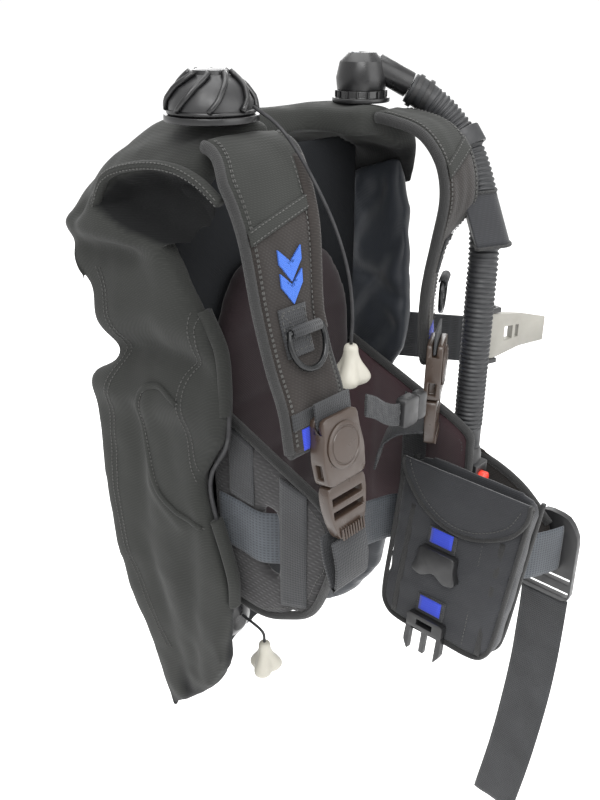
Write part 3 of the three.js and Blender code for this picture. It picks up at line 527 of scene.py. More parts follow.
class Band:
    """A flat strap given by its two edges, walked in equal steps."""

    def __init__(self, left, right, thickness, steps=60):
        self.left = catmull([mm(*p) for p in left], steps)
        self.right = catmull([mm(*p) for p in right], steps)
        self.steps = steps
        self.half = thickness / 2

    def at(self, s, u, out=0.0):
        """s from 0 to 1 along, u from -1 to 1 across, out in mm in front of the middle surface."""
        place = min(max(s, 0), 1) * (self.steps - 1)
        i = min(int(place), self.steps - 2)
        share = place - i
        left = self.left[i].lerp(self.left[i + 1], share)
        right = self.right[i].lerp(self.right[i + 1], share)
        along = ((self.left[i + 1] - self.left[i]) + (self.right[i + 1] - self.right[i])).normalized()
        across = (right - left).normalized()
        out_way = along.cross(across).normalized()
        return left.lerp(right, (u + 1) / 2) + out_way * out * MM

    def width(self, s):
        return (self.at(s, 1) - self.at(s, -1)).length

    def solid(self, name, material, body, slot, columns=14, crown=0.0, rough=0.0, seed=0.0, s0=0.0, s1=1.0,
              u0=-1.0, u1=1.0, lift=0.0, half=None, rows=None, slant=(0, 0)):
        half = self.half if half is None else half
        rows = rows or self.steps
        verts, faces, uv = [], [], []
        run = 0.0
        before = None
        for i in range(rows):
            s = s0 + (s1 - s0) * i / (rows - 1)
            middle = self.at(s, (u0 + u1) / 2)
            if before is not None:
                run += (middle - before).length
            before = middle
            for side in (1, -1):
                order = range(columns + 1) if side > 0 else range(columns, -1, -1)
                for k in order:
                    t = k / columns
                    u = u0 + (u1 - u0) * t
                    edge = (1 - abs(2 * t - 1) ** 8) ** 0.5
                    puff = crown * (1 - abs(2 * t - 1) ** 2.5)
                    ripple = rough * noise.noise(Vector((u * 2.2 + seed, s * 7, seed)))
                    out = lift + ripple + side * (half * (0.35 + 0.65 * edge) + puff)
                    along = s - u * (slant[0] + (slant[1] - slant[0]) * i / (rows - 1))
                    verts.append(self.at(along, u, out))
                    uv.append(((t * self.width(s) * (u1 - u0) / 2), run))
        ring = 2 * (columns + 1)
        for i in range(rows - 1):
            for k in range(ring):
                n = (k + 1) % ring
                faces.append((i * ring + k, (i + 1) * ring + k, (i + 1) * ring + n, i * ring + n))
        faces.append(tuple(range(ring)))
        faces.append(tuple((rows - 1) * ring + k for k in reversed(range(ring))))
        return piece(name, verts, faces, material, body, True, uv)

    def row(self, u, out, s0=0.0, s1=1.0, count=40):
        return [self.at(s0 + (s1 - s0) * k / (count - 1), u, out) for k in range(count)]

def outline_tube(name, points, a, b, material, body, closed=True, count=140):
    """Binding tape folded over an edge: a soft flat roll that follows it."""
    if closed:
        walk = catmull([*points, points[0]], count)[:-1]
    else:
        walk = catmull(points, count)
    section = oval(a * MM, b * MM, 12)
    return sweep(name, walk, lambda i: section, material, body, closed)


# ---- cords ----
DUMP_ROUTE = [(-79.5, -75.6, 279), (-73, -92, 268), (-69, -107, 252), (-60, -128, 214), (-52, -135, 188),
              (-44, -138, 160), (-36, -136, 128), (-33, -133, 100.5)]
REAR_ROUTE = [(-74, -39, -196), (-72, -65, -204), (-71, -66, -215.5)]
BUNGEE_ROUTE = [(-118, -60, 134), (-118, -78, 100), (-118, -79.8, 60), (-118, -77, 24), (-118, -56, -12),
                (-118, -53, -30), (-118, -64, -72), (-118, -78, -124)]
HOSE_ROUTE = [(113.8, -70.8, 279.6), (120, -79, 274), (130, -96, 259), (136, -115, 237), (134, -133, 209),
              (127, -147, 178), (119, -155, 148), (116, -157, 118), (116, -157, 40), (116, -157, -38)]


def knob(name, x, y, z, body):
    """A three-winged pull that widens downwards."""
    profile = [(1.0, 0.4), (4.2, 0), (5.6, -2), (6.2, -8), (8.0, -14), (11.5, -21), (14.0, -26), (14.4, -29),
               (12.0, -32.5), (6.0, -34), (0.5, -34)]

    def wings(angle, height):
        depth = min(max((-height - 5) / 16, 0), 1)
        return 1 + depth * (0.22 * math.cos(3 * (angle + math.pi / 6)) + 0.02 * math.cos(6 * angle))

    dense = catmull([mm(r, 0, h) for r, h in profile], 30)
    rows = [(p.x / MM, p.z / MM) for p in dense]
    return lathe(name, rows, LIGHT, Matrix.Translation(mm(x, y, z)), body, 60, wings)


dump_knob = knob("dump_knob_pull", -33, -133, 100, "dump_pull")
rear_knob = knob("rear_dump_knob_pull", -71, -66, -216, "rear_pull")
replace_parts(dump_knob, "dump_knob")
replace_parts(rear_knob, "rear_dump_knob")


def cord(name, node, route, radius):
    points = catmull([mm(*p) for p in route], 40)
    obj = tube(name, points, radius * MM, ELASTIC, BODY_OF[node], 8)
    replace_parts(obj, node)
    return obj


cord("dump_pull_cord", "dump_cord", DUMP_ROUTE, 1.4)
cord("rear_dump_pull_cord", "rear_dump_cord", REAR_ROUTE, 1.4)
cord("lobe_bungee", "bungee_cord", BUNGEE_ROUTE, 2.0)

hose_points = catmull([mm(*p) for p in HOSE_ROUTE], 560)
RIB = 4.4 * MM
hose_run = [0.0]
for first, second in zip(hose_points, hose_points[1:]):
    hose_run.append(hose_run[-1] + (second - first).length)


def hose_section(i):
    run = hose_run[i]
    plain = run < 0.022 or run > hose_run[-1] - 0.02
    wave = 0.5 + 0.5 * math.cos(2 * math.pi * run / RIB)
    radius = 0.0128 if plain else 0.0118 + 0.0017 * wave ** 0.6
    return oval(radius, radius, 28)


hose = sweep("corrugated_hose", hose_points, hose_section, RUBBER, "vest")
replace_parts(hose, "inflator_hose")


# ---- backpack ----
bevelled("backpack_plate", BLACK, 2.0, 3)


def quilted(points):
    rows = sum(crease(points, [(-70, -39, z), (70, -39, z)], 5, 3.0) for z in (-90, -30, 30, 90))
    spine = crease(points, [(0, -39, -150), (0, -39, 150)], 8, 4)
    return 0.003 - rows - spine + rumple(points, 60, 1.5)


back_pad = softened("back_pad", PAD, 5, 8, quilted)


# ---- air cell ----
def right_folds(points):
    notch = crease(points, [(-140, 56, 74), (-138, -10, 90), (-134, -62, 86)], 11, 11)
    above = crease(points, [(-140, 60, 104), (-138, -8, 122), (-132, -60, 118)], 16, -7)
    below = crease(points, [(-140, 66, 44), (-140, 10, 40), (-136, -40, 52)], 16, -8)
    hang = crease(points, [(-140, 78, 60), (-140, 70, -120), (-132, 40, -250), (-118, 15, -310)], 14, -4)
    long_fold = crease(points, [(-140, 20, 30), (-140, 26, -90), (-132, 10, -200), (-120, 4, -290)], 12, 5)
    low_fold = crease(points, [(-140, -40, -60), (-136, -30, -150), (-126, -14, -250)], 10, 4)
    flap = crease(points, [(-138, -4, 58), (-138, 6, 10), (-138, 8, -41), (-136, -30, -70)], 5, -4)
    return (-notch - above - below - hang - long_fold - low_fold - flap
            + rumple(points, 70, 5.0, (1, 1, 0.45), 3.1) + rumple(points, 24, 1.4, (1, 1, 0.6), 8.2))


def inside(y, z, corners):
    """How far points lie inside a polygon, in metres; negative outside."""
    nearest = np.full(len(y), 1e9)
    within = np.zeros(len(y), dtype=bool)
    for (y0, z0), (y1, z1) in zip(corners, corners[1:] + corners[:1]):
        y0, z0, y1, z1 = y0 * MM, z0 * MM, y1 * MM, z1 * MM
        length = math.hypot(y1 - y0, z1 - z0)
        share = np.clip(((y - y0) * (y1 - y0) + (z - z0) * (z1 - z0)) / length ** 2, 0, 1)
        nearest = np.minimum(nearest, np.hypot(y - y0 - share * (y1 - y0), z - z0 - share * (z1 - z0)))
        crosses = (z0 > z) != (z1 > z)
        height = z1 - z0 if z1 != z0 else 1e-9
        within ^= crosses & (y < (y1 - y0) * (z - z0) / height + y0)
    return np.where(within, nearest, -nearest)


ARMHOLE = [(40, 203), (18, 226), (-18, 237), (-54, 238), (-76, 224), (-82, 190), (-62, 170), (-32, 178),
           (-2, 188)]


def wing_drape(points):
    points = points.copy()
    x, y, z = points.T / MM
    rear = np.interp(z, [-310, -229, -151, -53, 41, 86, 186, 230], [36, 44, 72, 82, 80, 47, 92, 110])
    over = np.where((x < -100) & (y > rear), y - rear, 0)
    points[:, 1] -= over * 0.85 * MM
    depth = np.clip(inside(points[:, 1], points[:, 2], ARMHOLE) / 0.010, 0, 1)
    outer = np.clip((-114 - x) / 20, 0, 1)
    points[:, 0] += depth * outer * 0.024
    return points


def wing_folds(points):
    hem = crease(points, [(-142, 40, 206), (-142, 18, 229), (-140, -18, 240), (-136, -54, 242)], 7, -3)
    ridge = crease(points, [(-146, 92, 184), (-146, 40, 186), (-140, -2, 184)], 8, -6)
    tuck = crease(points, [(-144, 80, 166), (-146, 40, 166), (-142, 4, 168)], 10, 7)
    fan = sum(crease(points, [(-142, 60, 190), (-140, y, z)], 7, 2.5)
              for y, z in ((20, 244), (48, 236), (70, 214)))
    return right_folds(points) - hem - ridge - tuck - fan


right_wing = softened(("air_cell_yoke", "air_cell_right"), WING, 4.5, 8, wing_folds, 1, "air_cell_wing",
                      wing_drape)
# Painted shade: the wing cloth's colour is darkened in the armhole's recess, and on the lobe's inner face below
# the yoke, where the dark is partly the coated interior's own colour and partly painted shade.
wing_x, wing_y, wing_z = coordinates(right_wing.data).T
outer_side = np.clip((-100 * MM - wing_x) / 0.010, 0, 1)
recessed = np.clip(inside(wing_y, wing_z, ARMHOLE) / 0.006, 0, 1) * outer_side
facing_in = np.clip((wing_x + 0.118) / 0.006, 0, 1) * np.clip((0.236 - wing_z) / 0.010, 0, 1)
shade = np.maximum(recessed, 0.8 * facing_in)
right_wing.data.attributes.new("inside", "FLOAT", "POINT").data.foreach_set("value", shade)
wing_surface = BVHTree.FromPolygons([v.co for v in right_wing.data.vertices],
                                    [list(p.vertices) for p in right_wing.data.polygons])


def on_wing(y, z, lift):
    """The place on the wing's outer side at that y and z in mm, some mm proud of it."""
    hit = wing_surface.ray_cast(mm(-300, y, z), Vector((1, 0, 0)))[0]
    return hit - mm(lift, 0, 0) if hit else None


WING_SEAMS = {
    "flap": [(-40, 54), (-16, 62), (2, 54), (8, 30), (6, -10), (-2, -38), (-24, -56), (-52, -64)],
    "side": [(52, 150), (40, 118), (30, 88), (44, 50), (52, 0), (54, -60), (48, -120), (34, -180),
             (18, -240)],
    "front": [(-52, 168), (-56, 130), (-58, 96), (-44, 76), (-46, 20), (-50, -20)],
}
for name, line in WING_SEAMS.items():
    dense = catmull([mm(0, y, z) for y, z in line], 50)
    hits = [on_wing(p.y / MM, p.z / MM, 0.6) for p in dense]
    hits = [p for p in hits if p is not None]
    if name == "flap":
        section = oval(1.8 * MM, 2.6 * MM, 10)
        sweep("wing_flap_hem", hits, lambda i: section, CORDURA, "vest")
    for shift in (-2.6, 2.6):
        row = [on_wing(p.y / MM + shift, p.z / MM, 0.5) for p in dense]
        row = [p for p in row if p is not None]
        stitches(f"wing_seam_{name}_{'a' if shift < 0 else 'b'}", row, THREAD, "vest")


def left_folds(points):
    folds = [[(112, -70, 150), (112, 0, 60), (110, 40, -20)],
             [(112, -60, 60), (112, -10, 10), (108, 30, -80)],
             [(112, -40, 190), (112, 10, 120)], [(112, -70, 90), (112, 20, 112), (112, 60, 90)],
             [(110, -60, -20), (110, 10, -60), (106, 50, -130)]]
    return (-sum(crease(points, line, 9, 8) for line in folds)
            + rumple(points, 50, 6.5, (1, 1, 0.5), 1.7) + rumple(points, 20, 1.2, (1, 1, 1), 5.2))


left_lobe = softened("air_cell_left", COATED, 5, 8, left_folds, 1)


# The inner panel takes the darker copy of the coated cloth: partly its own dark colour, partly painted shade.
softened("air_cell_panel", INSIDE, 3, 2, lambda points: rumple(points, 50, 0.6))

# Hems: the armhole's bound edge on the yoke, and the channels that hold the bungee.
hem = [mm(*p) for p in ((-144, 36, 204), (-145, 18, 227), (-142, -18, 239), (-138, -54, 241),
                        (-136, -80, 234), (-134, -98, 222))]
outline_tube("armhole_hem", hem, 4.4, 3.4, CORDURA, "vest", False, 80)
for shift in (-2.2, 2.2):
    row = [p + mm(-4.2, 0, shift) for p in hem]
    stitches(f"armhole_hem_seam_{'a' if shift < 0 else 'b'}", row, THREAD, "vest")
BUNGEE_CHANNELS = {
    "upper": [(-119, -58, 132), (-119, -75, 104), (-119, -78, 74), (-119, -77, 50)],
    "lower": [(-119, -60, -56), (-118, -70, -84), (-117, -77, -112), (-115, -75, -140)],
}
for name, line in BUNGEE_CHANNELS.items():
    outline_tube(f"bungee_channel_{name}", [mm(*p) for p in line], 6.5, 4.5, CORDURA, "vest",
                 False, 50)


# ---- shoulder straps ----
def spline_at(line, count):
    walk = catmull([mm(0, y, z) for y, z in line], count)
    return [(p.y / MM, p.z / MM) for p in walk]


RIGHT_LINE = spline_at([(-72, 256), (-84, 252.5), (-97, 241), (-117, 207), (-132, 150), (-145, 110),
                        (-156, 84), (-162, 52)], 26)
right_edges = []
for y, z in RIGHT_LINE:
    outer = min(-124, -136 + max(z - 236, 0) * 0.5)
    inner = -50 - 24 * min(max((250 - z) / 110, 0), 1)
    right_edges.append(((outer, y, z), (inner, y, z)))
right_strap = Band([e[0] for e in right_edges], [e[1] for e in right_edges], 9, 70)

LEFT_LINE = spline_at([(-72, 259), (-84, 258), (-118, 250), (-138, 230), (-145, 204), (-140, 165),
                       (-134, 130), (-132, 90), (-136, 57)], 26)
left_edges = []
for y, z in LEFT_LINE:
    share = min(max((200 - z) / 50, 0), 1)
    turn = math.radians(28) * share * share * (3 - 2 * share)
    reach = 44 + 4 * share
    left_edges.append(((66, y, z), (66 + reach * math.cos(turn), y + reach * math.sin(turn), z)))
left_strap = Band([e[0] for e in left_edges], [e[1] for e in left_edges], 9, 70)

for side, band in (("right", right_strap), ("left", left_strap)):
    name = f"shoulder_strap_{side}"
    body = band.solid(name + "_lower", STRAP, "vest", "strap_cloth", 18, 0.6, 1.2, 3.0, 0.18, 1.0,
                      -0.95, 0.95)
    band.solid(name + "_upper", CORDURA, "vest", "cordura", 18, 0.6, 1.2, 3.0, 0.0, 0.285, -0.955, 0.955,
               0.5, slant=(0, 0.045))
    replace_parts(body, name)
    for edge in (-1, 1):
        points = band.row(edge * 0.955, 0, 0.0, 1.0, 60)
        section = oval(3.6 * MM, 4.6 * MM, 12)
        sweep(f"{name}_binding_{'a' if edge < 0 else 'b'}", points, lambda i: section, TAPE, "vest")
        for inset in (0.84, 0.80):
            stitches(f"{name}_seam_{'a' if edge < 0 else 'b'}_{int(inset * 100)}",
                     band.row(edge * inset, band.half + 0.9, 0.02, 0.98), THREAD, "vest")
    end = [band.at(1.0, -0.95 + 1.9 * k / 11, 0) for k in range(12)]
    end_section = oval(4.0 * MM, 4.6 * MM, 12)
    sweep(name + "_end_binding", end, lambda i: end_section, TAPE, "vest")
    band.solid(name + "_cross_tape", CORDURA, "vest", "cordura", 10, 0, 0, 0, 0.275, 0.318, -0.93, 0.93,
               band.half + 1.3, 0.6, 8, (0.045, 0.045))
    for s in (0.281, 0.312):
        line = [band.at(s - 0.045 * u, u, band.half + 2.0) for u in (-0.9, -0.45, 0, 0.45, 0.9)]
        stitches(f"{name}_cross_seam_{int(s * 1000)}", line, THREAD, "vest")

# A sewn channel along the strap, on the inner edge beside the dump cord.
channel = right_strap.row(0.78, right_strap.half + 1.6, 0.12, 0.66, 40)
channel_section = oval(5.0 * MM, 1.8 * MM, 12)
sweep("cord_channel", channel, lambda i: channel_section, STRAP, "vest")
stitches("cord_channel_seam", right_strap.row(0.62, right_strap.half + 1.3, 0.12, 0.66), THREAD, "vest")


def flat_on(band, name, outline, lift, material, thick=0.8):
    """A flat patch on a band with its outline in (s, u)."""
    middle = (sum(p[0] for p in outline) / len(outline), sum(p[1] for p in outline) / len(outline))
    rings = 6
    verts, faces = [], []
    count = len(outline)
    for face in (1, -1):
        for r in range(rings, 0, -1):
            share = r / rings
            for s, u in outline:
                verts.append(band.at(middle[0] + (s - middle[0]) * share, middle[1] + (u - middle[1]) * share,
                                     band.half + lift + face * thick / 2))
        verts.append(band.at(*middle, band.half + lift + face * thick / 2))
    layer = rings * count + 1
    for face in range(2):
        base = face * layer
        for r in range(rings - 1):
            for k in range(count):
                n = (k + 1) % count
                quad = (base + r * count + k, base + r * count + n, base + (r + 1) * count + n,
                        base + (r + 1) * count + k)
                faces.append(quad if face == 0 else quad[::-1])
        for k in range(count):
            n = (k + 1) % count
            tri = (base + (rings - 1) * count + k, base + (rings - 1) * count + n, base + layer - 1)
            faces.append(tri if face == 0 else tri[::-1])
    for k in range(count):
        n = (k + 1) % count
        faces.append((k, layer + k, layer + n, n))
    return piece(name, verts, faces, material, "vest", False)


# A plain embroidered mark: two chevrons.
for i, s in enumerate((0.385, 0.455)):
    chevron = [(s, -0.3), (s + 0.06, 0.02), (s, 0.34), (s + 0.042, 0.34), (s + 0.102, 0.02),
               (s + 0.042, -0.3)]
    points = []
    for a, b in zip(chevron, chevron[1:] + chevron[:1]):
        for k in range(5):
            points.append((a[0] + (b[0] - a[0]) * k / 5, a[1] + (b[1] - a[1]) * k / 5))
    flat_on(right_strap, f"strap_mark_{i}", points, 1.2, THREAD_BLUE, 1.2)


# ---- D-rings and their tabs ----
def box_middle(node):
    low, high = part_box(node)
    return (Vector(low) + Vector(high)) / 2


def ring_frame(node):
    """The D-ring's own frame, read from its joint's axis and pivot."""
    joint = next(j for j in frame["joints"] if j["child"] == BODY_OF[node])
    across = -Vector(joint["axis"])
    pivot = Vector(joint["pos_m"])
    down = box_middle(node) - pivot
    down = (down - across * down.dot(across)).normalized()
    front = down.cross(across).normalized()
    return pivot, across.normalized(), down, front


for side in ("right", "left"):
    node = f"d_ring_{side}"
    pivot, across, down, front = ring_frame(node)
    half = 0.0182
    path = []
    for k in range(13):
        path.append(pivot + across * (half * 0.94 * (k / 6 - 1)))
    for k in range(1, 24):
        angle = math.pi * k / 24
        path.append(pivot + across * half * math.cos(angle)
                    + down * (0.0275 * math.sin(angle) ** 0.72 + 0.0015))
    ring = sweep(node + "_wire", path, lambda i: oval(0.0023, 0.0023, 14), BLACK_METAL, BODY_OF[node],
                 True)
    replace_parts(ring, node)

for side, band, s0, s1, u0, u1 in (("right", right_strap, 0.56, 0.715, -0.52, 0.36),
                                   ("left", left_strap, 0.56, 0.69, -0.5, 0.45)):
    patch = band.solid(f"ring_tab_{side}", WEBBING, "vest", "webbing", 10, 0.2, 0, 0, s0, s1, u0, u1,
                       band.half + 1.5, 1.1, 14)
    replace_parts(patch, f"d_ring_tab_{side}")
    pivot, across, down, front = ring_frame(f"d_ring_{side}")
    loop = []
    for k in range(13):
        angle = math.pi * 1.25 * k / 12 - math.pi * 0.35
        loop.append((math.cos(angle) * 0.0043, math.sin(angle) * 0.0043))
    verts, faces, uv = [], [], []
    for j, step in enumerate((-0.0145, 0.0145)):
        for k, (a, b) in enumerate(loop):
            verts.append(pivot + across * step + front * a - down * b)
            uv.append((0.029 * j, 0.001 * k))
    for k in range(12):
        faces.append((k, k + 1, 14 + k, 13 + k))
    web_loop = piece(f"ring_loop_{side}", verts, faces, WEBBING, "vest", True, uv)
    web_loop.modifiers.new("thick", "SOLIDIFY").thickness = 0.0016
    frame_points = [(s0 + 0.012, u0 + 0.06), (s0 + 0.012, u1 - 0.06), (s1 - 0.02, u1 - 0.06),
                    (s1 - 0.02, u0 + 0.06), (s0 + 0.012, u0 + 0.06)]
    for i, (a, b) in enumerate(zip(frame_points, frame_points[1:])):
        line = [band.at(a[0] + (b[0] - a[0]) * k / 6, a[1] + (b[1] - a[1]) * k / 6, band.half + 2.9)
                for k in range(7)]
        stitches(f"ring_tab_{side}_seam_{i}", line, THREAD, "vest")
    cross = [band.at(s0 + 0.012 + (s1 - s0 - 0.032) * k / 8, u0 + 0.06 + (u1 - u0 - 0.12) * k / 8,
                     band.half + 2.9) for k in range(9)]
    stitches(f"ring_tab_{side}_seam_cross", cross, THREAD, "vest")

# Webbing bar under the right D-ring, and a blue panel at the foot of each strap.
right_strap.solid("buckle_bar_tape", WEBBING, "vest", "webbing", 10, 0, 0, 0, 0.875, 0.925, -0.9, 0.9,
                  right_strap.half + 1.0, 0.7, 8)
right_strap.solid("buckle_blue_panel", BLUE, "vest", "strap_cloth", 10, 0, 0, 0, 0.93, 1.0, -0.62, 0.78,
                  right_strap.half + 0.7, 0.5, 10)
left_strap.solid("left_blue_panel", BLUE, "vest", "strap_cloth", 10, 0, 0, 0, 0.90, 1.0, -0.8, 0.5,
                 left_strap.half + 0.7, 0.5, 10)

# ---- buckles ----
HARD = {
    "cam_buckle_frame": (BLACK, 0.7), "cam_lever": (GREY_LEVER, 1.2), "waist_buckle": (BLACK, 1.0),
    "buckle_socket_right": (BROWN, 1.3), "buckle_socket_left": (BROWN, 1.3),
    "buckle_plug_right": (BROWN, 1.0), "buckle_plug_left": (BROWN, 1.0),
    "chest_socket": (BLACK, 0.8), "chest_plug": (BLACK, 0.7),
    "dump_valve_base": (GLOSS, 0.6), "rear_dump_base": (GLOSS, 0.5), "exhaust_base": (GLOSS, 0.6),
    "inflator_body": (BLACK, 0.8), "deflate_button": (BLACK, 0.6), "mouthpiece": (RUBBER, 1.2),
    "air_fitting": (STEEL, 0.4), "hose_clip": (RUBBER, 0.8), "pocket_socket": (BLACK, 0.9),
    "pocket_plug": (BLACK, 0.8), "inflate_button": (RED, 0.8), "dump_poppet": (RUBBER, 0.3),
    "exhaust_elbow": (GLOSS, 0.8), "rear_dump_cap": (GLOSS, 0.6),
}
for node, (material, width) in HARD.items():
    part = bevelled(node, material, width)
    if node == "cam_lever":
        low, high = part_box(node)
        middle = (low[2] + high[2]) / 2
        for vertex in part.data.vertices:
            share = min(max((vertex.co.x - low[0]) / (high[0] - low[0]), 0), 1)
            vertex.co.z = middle + (vertex.co.z - middle) * (1 - 0.5 * share ** 1.4)


def node_frame(node, pitch, yaw):
    """A frame at the middle of a node's box, turned as the node is."""
    return (Matrix.Translation(box_middle(node)) @ Matrix.Rotation(math.radians(yaw), 4, "Z")
            @ Matrix.Rotation(math.radians(pitch), 4, "X"))


for side, pitch, yaw in (("right", -10, 0), ("left", 0, 28)):
    face = node_frame(f"buckle_socket_{side}", pitch, yaw)
    front = face @ Matrix.Translation(mm(0, -7, 2)) @ Matrix.Rotation(math.radians(90), 4, "X")
    lathe(f"buckle_disc_{side}", [(0.2, -1), (17.2, -1), (18.2, 0), (18.2, 1.2), (17.4, 1.9), (15.2, 1.9),
                                  (14.8, 1.4), (13.9, 1.4), (13.5, 2.0), (6.0, 2.3), (0.2, 2.4)],
          BROWN, front, "vest", 56)
    plug = node_frame(f"buckle_plug_{side}", pitch, yaw)
    for i in range(9):
        bar = plug @ Matrix.Translation(mm(-12 + i * 3, -5.4, -26))
        lathe(f"buckle_grip_{side}_{i}", [(0.1, -5), (0.9, -4.6), (1.0, 0), (0.9, 4.6), (0.1, 5)], BROWN, bar,
              f"plug_{side}", 8)


# ---- webbing pieces ----
def strip(name, node, left, right, thickness, material, steps=40, rough=0.0):
    band = Band(left, right, thickness, steps)
    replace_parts(band.solid(name, material, BODY_OF[node], slot_of(node), 12, 0, rough, 2.0), node)
    return band


BELT_SLOPE = [(-120, -40), (-84, -40), (38, -86), (90, -96), (200, -116)]


def belt_top(x):
    for (x0, z0), (x1, z1) in zip(BELT_SLOPE, BELT_SLOPE[1:]):
        if x <= x1:
            return z0 + (z1 - z0) * (x - x0) / (x1 - x0)
    return BELT_SLOPE[-1][1]


BELT_RUN = [(-101.8, -46), (-101.8, -72), (-102.3, -96), (-96, -107), (-70, -121), (-16, -119), (40, -108),
            (68, -111), (82.4, -122), (81.4, -150), (81.4, -200), (90, -226), (108, -240), (132, -247),
            (152, -250)]
strip("waist_belt_web", "waist_belt", [(x, y, belt_top(x) - 50) for x, y in BELT_RUN],
      [(x, y, belt_top(x)) for x, y in BELT_RUN], 3, GREY_WEB, 120)

TAIL = [(156, -192.5, -239, 25), (156, -230, -239, 25), (153, -300, -238, 25), (147, -400, -231, 25),
        (140, -486, -221, 25)]
tail_band = strip("waist_tail_web", "waist_strap_tail", [(x, y + h, z) for x, z, y, h in TAIL],
                  [(x, y - h, z) for x, z, y, h in TAIL], 3, WEBBING, 60, 0.6)
tail_length = length_of([tail_band.at(k / 40, 0) for k in range(41)])

CHEST = [(-49.7, 62), (-38, 56), (-24, 46), (-12, 40), (-4.5, 38)]
strip("chest_web_right", "chest_strap_right", [(x, -163, z - 10) for x, z in CHEST],
      [(x, -163, z + 10) for x, z in CHEST], 2, WEBBING, 30, 0.8)
strip("chest_web_left", "chest_strap_left", [(22.5, -163, 28), (30, -163, 28)],
      [(22.5, -163, 48), (30, -163, 48)], 2, WEBBING, 8)


# Pieces of webbing that keep their CAD shape, with the weave laid out along them.
def woven_copy(node, material, along, name):
    mesh = copy_with(node, name, [
        ("DECIMATE", {"decimate_type": "DISSOLVE", "angle_limit": math.radians(1)}),
        ("BEVEL", {"width": 0.4 * MM, "segments": 2, "limit_method": "ANGLE",
                   "angle_limit": math.radians(50)}),
        ("TRIANGULATE", {})])
    layer = mesh.uv_layers.new(name="UVMap") if not mesh.uv_layers else mesh.uv_layers[0]
    along = Vector(along).normalized()
    across = along.cross(Vector((0, 1, 0.01))).normalized()
    for loop in mesh.loops:
        co = mesh.vertices[loop.vertex_index].co
        layer.data[loop.index].uv = (co.dot(across), co.dot(along))
    mesh.materials.clear()
    mesh.materials.append(material)
    mesh.shade_smooth()
    mesh.set_sharp_from_angle(angle=math.radians(35))
    obj = placed(bpy.data.objects.new(name, mesh), BODY_OF[node])
    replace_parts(obj, node)
    return obj


for node in ("buckle_web_right", "buckle_web_left", "lower_strap_right", "lower_strap_left",
             "pocket_web_upper", "pocket_web_lower"):
    woven_copy(node, WEBBING, (0, 0, 1), node + "_web")
woven_copy("tank_band", WEBBING, (1, 0.3, 0), "tank_band_web")
# The sleeve that holds the hose to the left strap: a flat loop of cloth round the hose.
sleeve_centre = box_middle("hose_sleeve")
SLEEVE_LEAN = (0.153, 0.543)
sleeve_loop = []
for k in range(34):
    angle = math.radians(-113 + 226 * k / 33)
    sleeve_loop.append((14.9 * math.cos(angle), 17.0 * math.sin(angle)))
for k in range(1, 13):
    angle = math.radians(113 + 134 * k / 13)
    sleeve_loop.append((-28 + 1.4 * math.cos(angle), -5 + 1.4 * math.sin(angle)))
SLEEVE_RING = len(sleeve_loop)
sleeve_rows = []
for step in range(9):
    height = (step / 8 - 0.5) * 42
    lean = (SLEEVE_LEAN[0] * height, SLEEVE_LEAN[1] * height)
    for across, out in sleeve_loop:
        sleeve_rows.append(sleeve_centre + mm(across + lean[0], out + lean[1], height))
sleeve_faces = []
for step in range(8):
    for k in range(SLEEVE_RING):
        n = (k + 1) % SLEEVE_RING
        low, high = step * SLEEVE_RING, (step + 1) * SLEEVE_RING
        sleeve_faces.append((low + k, low + n, high + n, high + k))
sleeve = piece("hose_sleeve_cloth", sleeve_rows, sleeve_faces, POUCH, "vest")
sleeve.modifiers.new("thick", "SOLIDIFY").thickness = 0.002
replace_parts(sleeve, "hose_sleeve")
for name, step in (("top", 8), ("bottom", 0)):
    ring = sleeve_rows[step * SLEEVE_RING:(step + 1) * SLEEVE_RING]
    ring_section = oval(1.5 * MM, 1.5 * MM, 8)
    sweep(f"sleeve_edge_{name}", ring, lambda i: ring_section, TAPE, "vest", True)


# ---- side panels ----
PANEL_EDGE = [(-28, 44), (-104, 14), (-160, -9), (-172, -18), (-173, -30), (-173, -58), (-166, -84),
              (-150, -118), (-124, -136), (-96, -148), (-28, -148)]


def panel_puff(points):
    channel_lines = [(-60, 26), (-60, -140)], [(-130, 0), (-130, -128)]
    seams = sum(crease(points, [(sign * 97, a[0], a[1]), (sign * 97, b[0], b[1])], 6, 2.2)
                for a, b in channel_lines for sign in (-1, 1))
    return 0.0012 - seams + rumple(points, 40, 1.2)


for side, sign in (("right", -1), ("left", 1)):
    node = f"side_panel_{side}"
    panel = softened(node, LINING if side == "left" else SPACER, 3.5, 3, panel_puff)
    edge = [mm(sign * 96.5, y, z) for y, z in PANEL_EDGE]
    outline_tube(node + "_binding", edge, 5.2, 3.4, TAPE, "vest", False, 120)
    for name, x in (("seam", 92.3), ("outer_seam", 100.8)):
        line = [mm(sign * x, y + (6 if y < -100 else 0), z + (-7 if z > -60 else 7))
                for y, z in PANEL_EDGE[1:-1]]
        stitches(f"{node}_{name}", line, THREAD, "vest")

# Webbing sewn upright on the panels: x, then y, top and foot of the first edge and of the second.
for name, x, first, second, steps in (("0", -101.6, (-59, 30, -36), (-89, 18, -38), 16),
                                      ("1", -101.6, (-119, 2, -124), (-149, -4, -112), 24),
                                      ("left", 91.4, (-128, 0, -112), (-100, 8, -118), 24)):
    edges = [[(x, y, top), (x, y, foot)] for y, top, foot in (first, second)]
    Band(*edges, 1.6, steps).solid(f"panel_web_{name}", WEBBING, "vest", "webbing", 8)


# ---- waistband ----
softened("waistband_left", STRAP, 3, 2, lambda points: rumple(points, 40, 0.9))
top_edge = [(101, -50, -50), (103, -70, -52), (112, -92, -54), (128, -104, -56), (143, -124, -58),
            (149.7, -156, -64), (149.7, -200, -80), (149.7, -236, -110)]
outline_tube("waistband_binding", [mm(*p) for p in top_edge], 3.6, 4.4, TAPE, "vest", False, 80)


# ---- weight pocket ----
POCKET = Matrix.Translation(mm(51.7, -191, -125)) @ Matrix.Rotation(math.radians(9), 4, "Y")


def on_pocket(x, y, z):
    return POCKET @ mm(x, y, z)


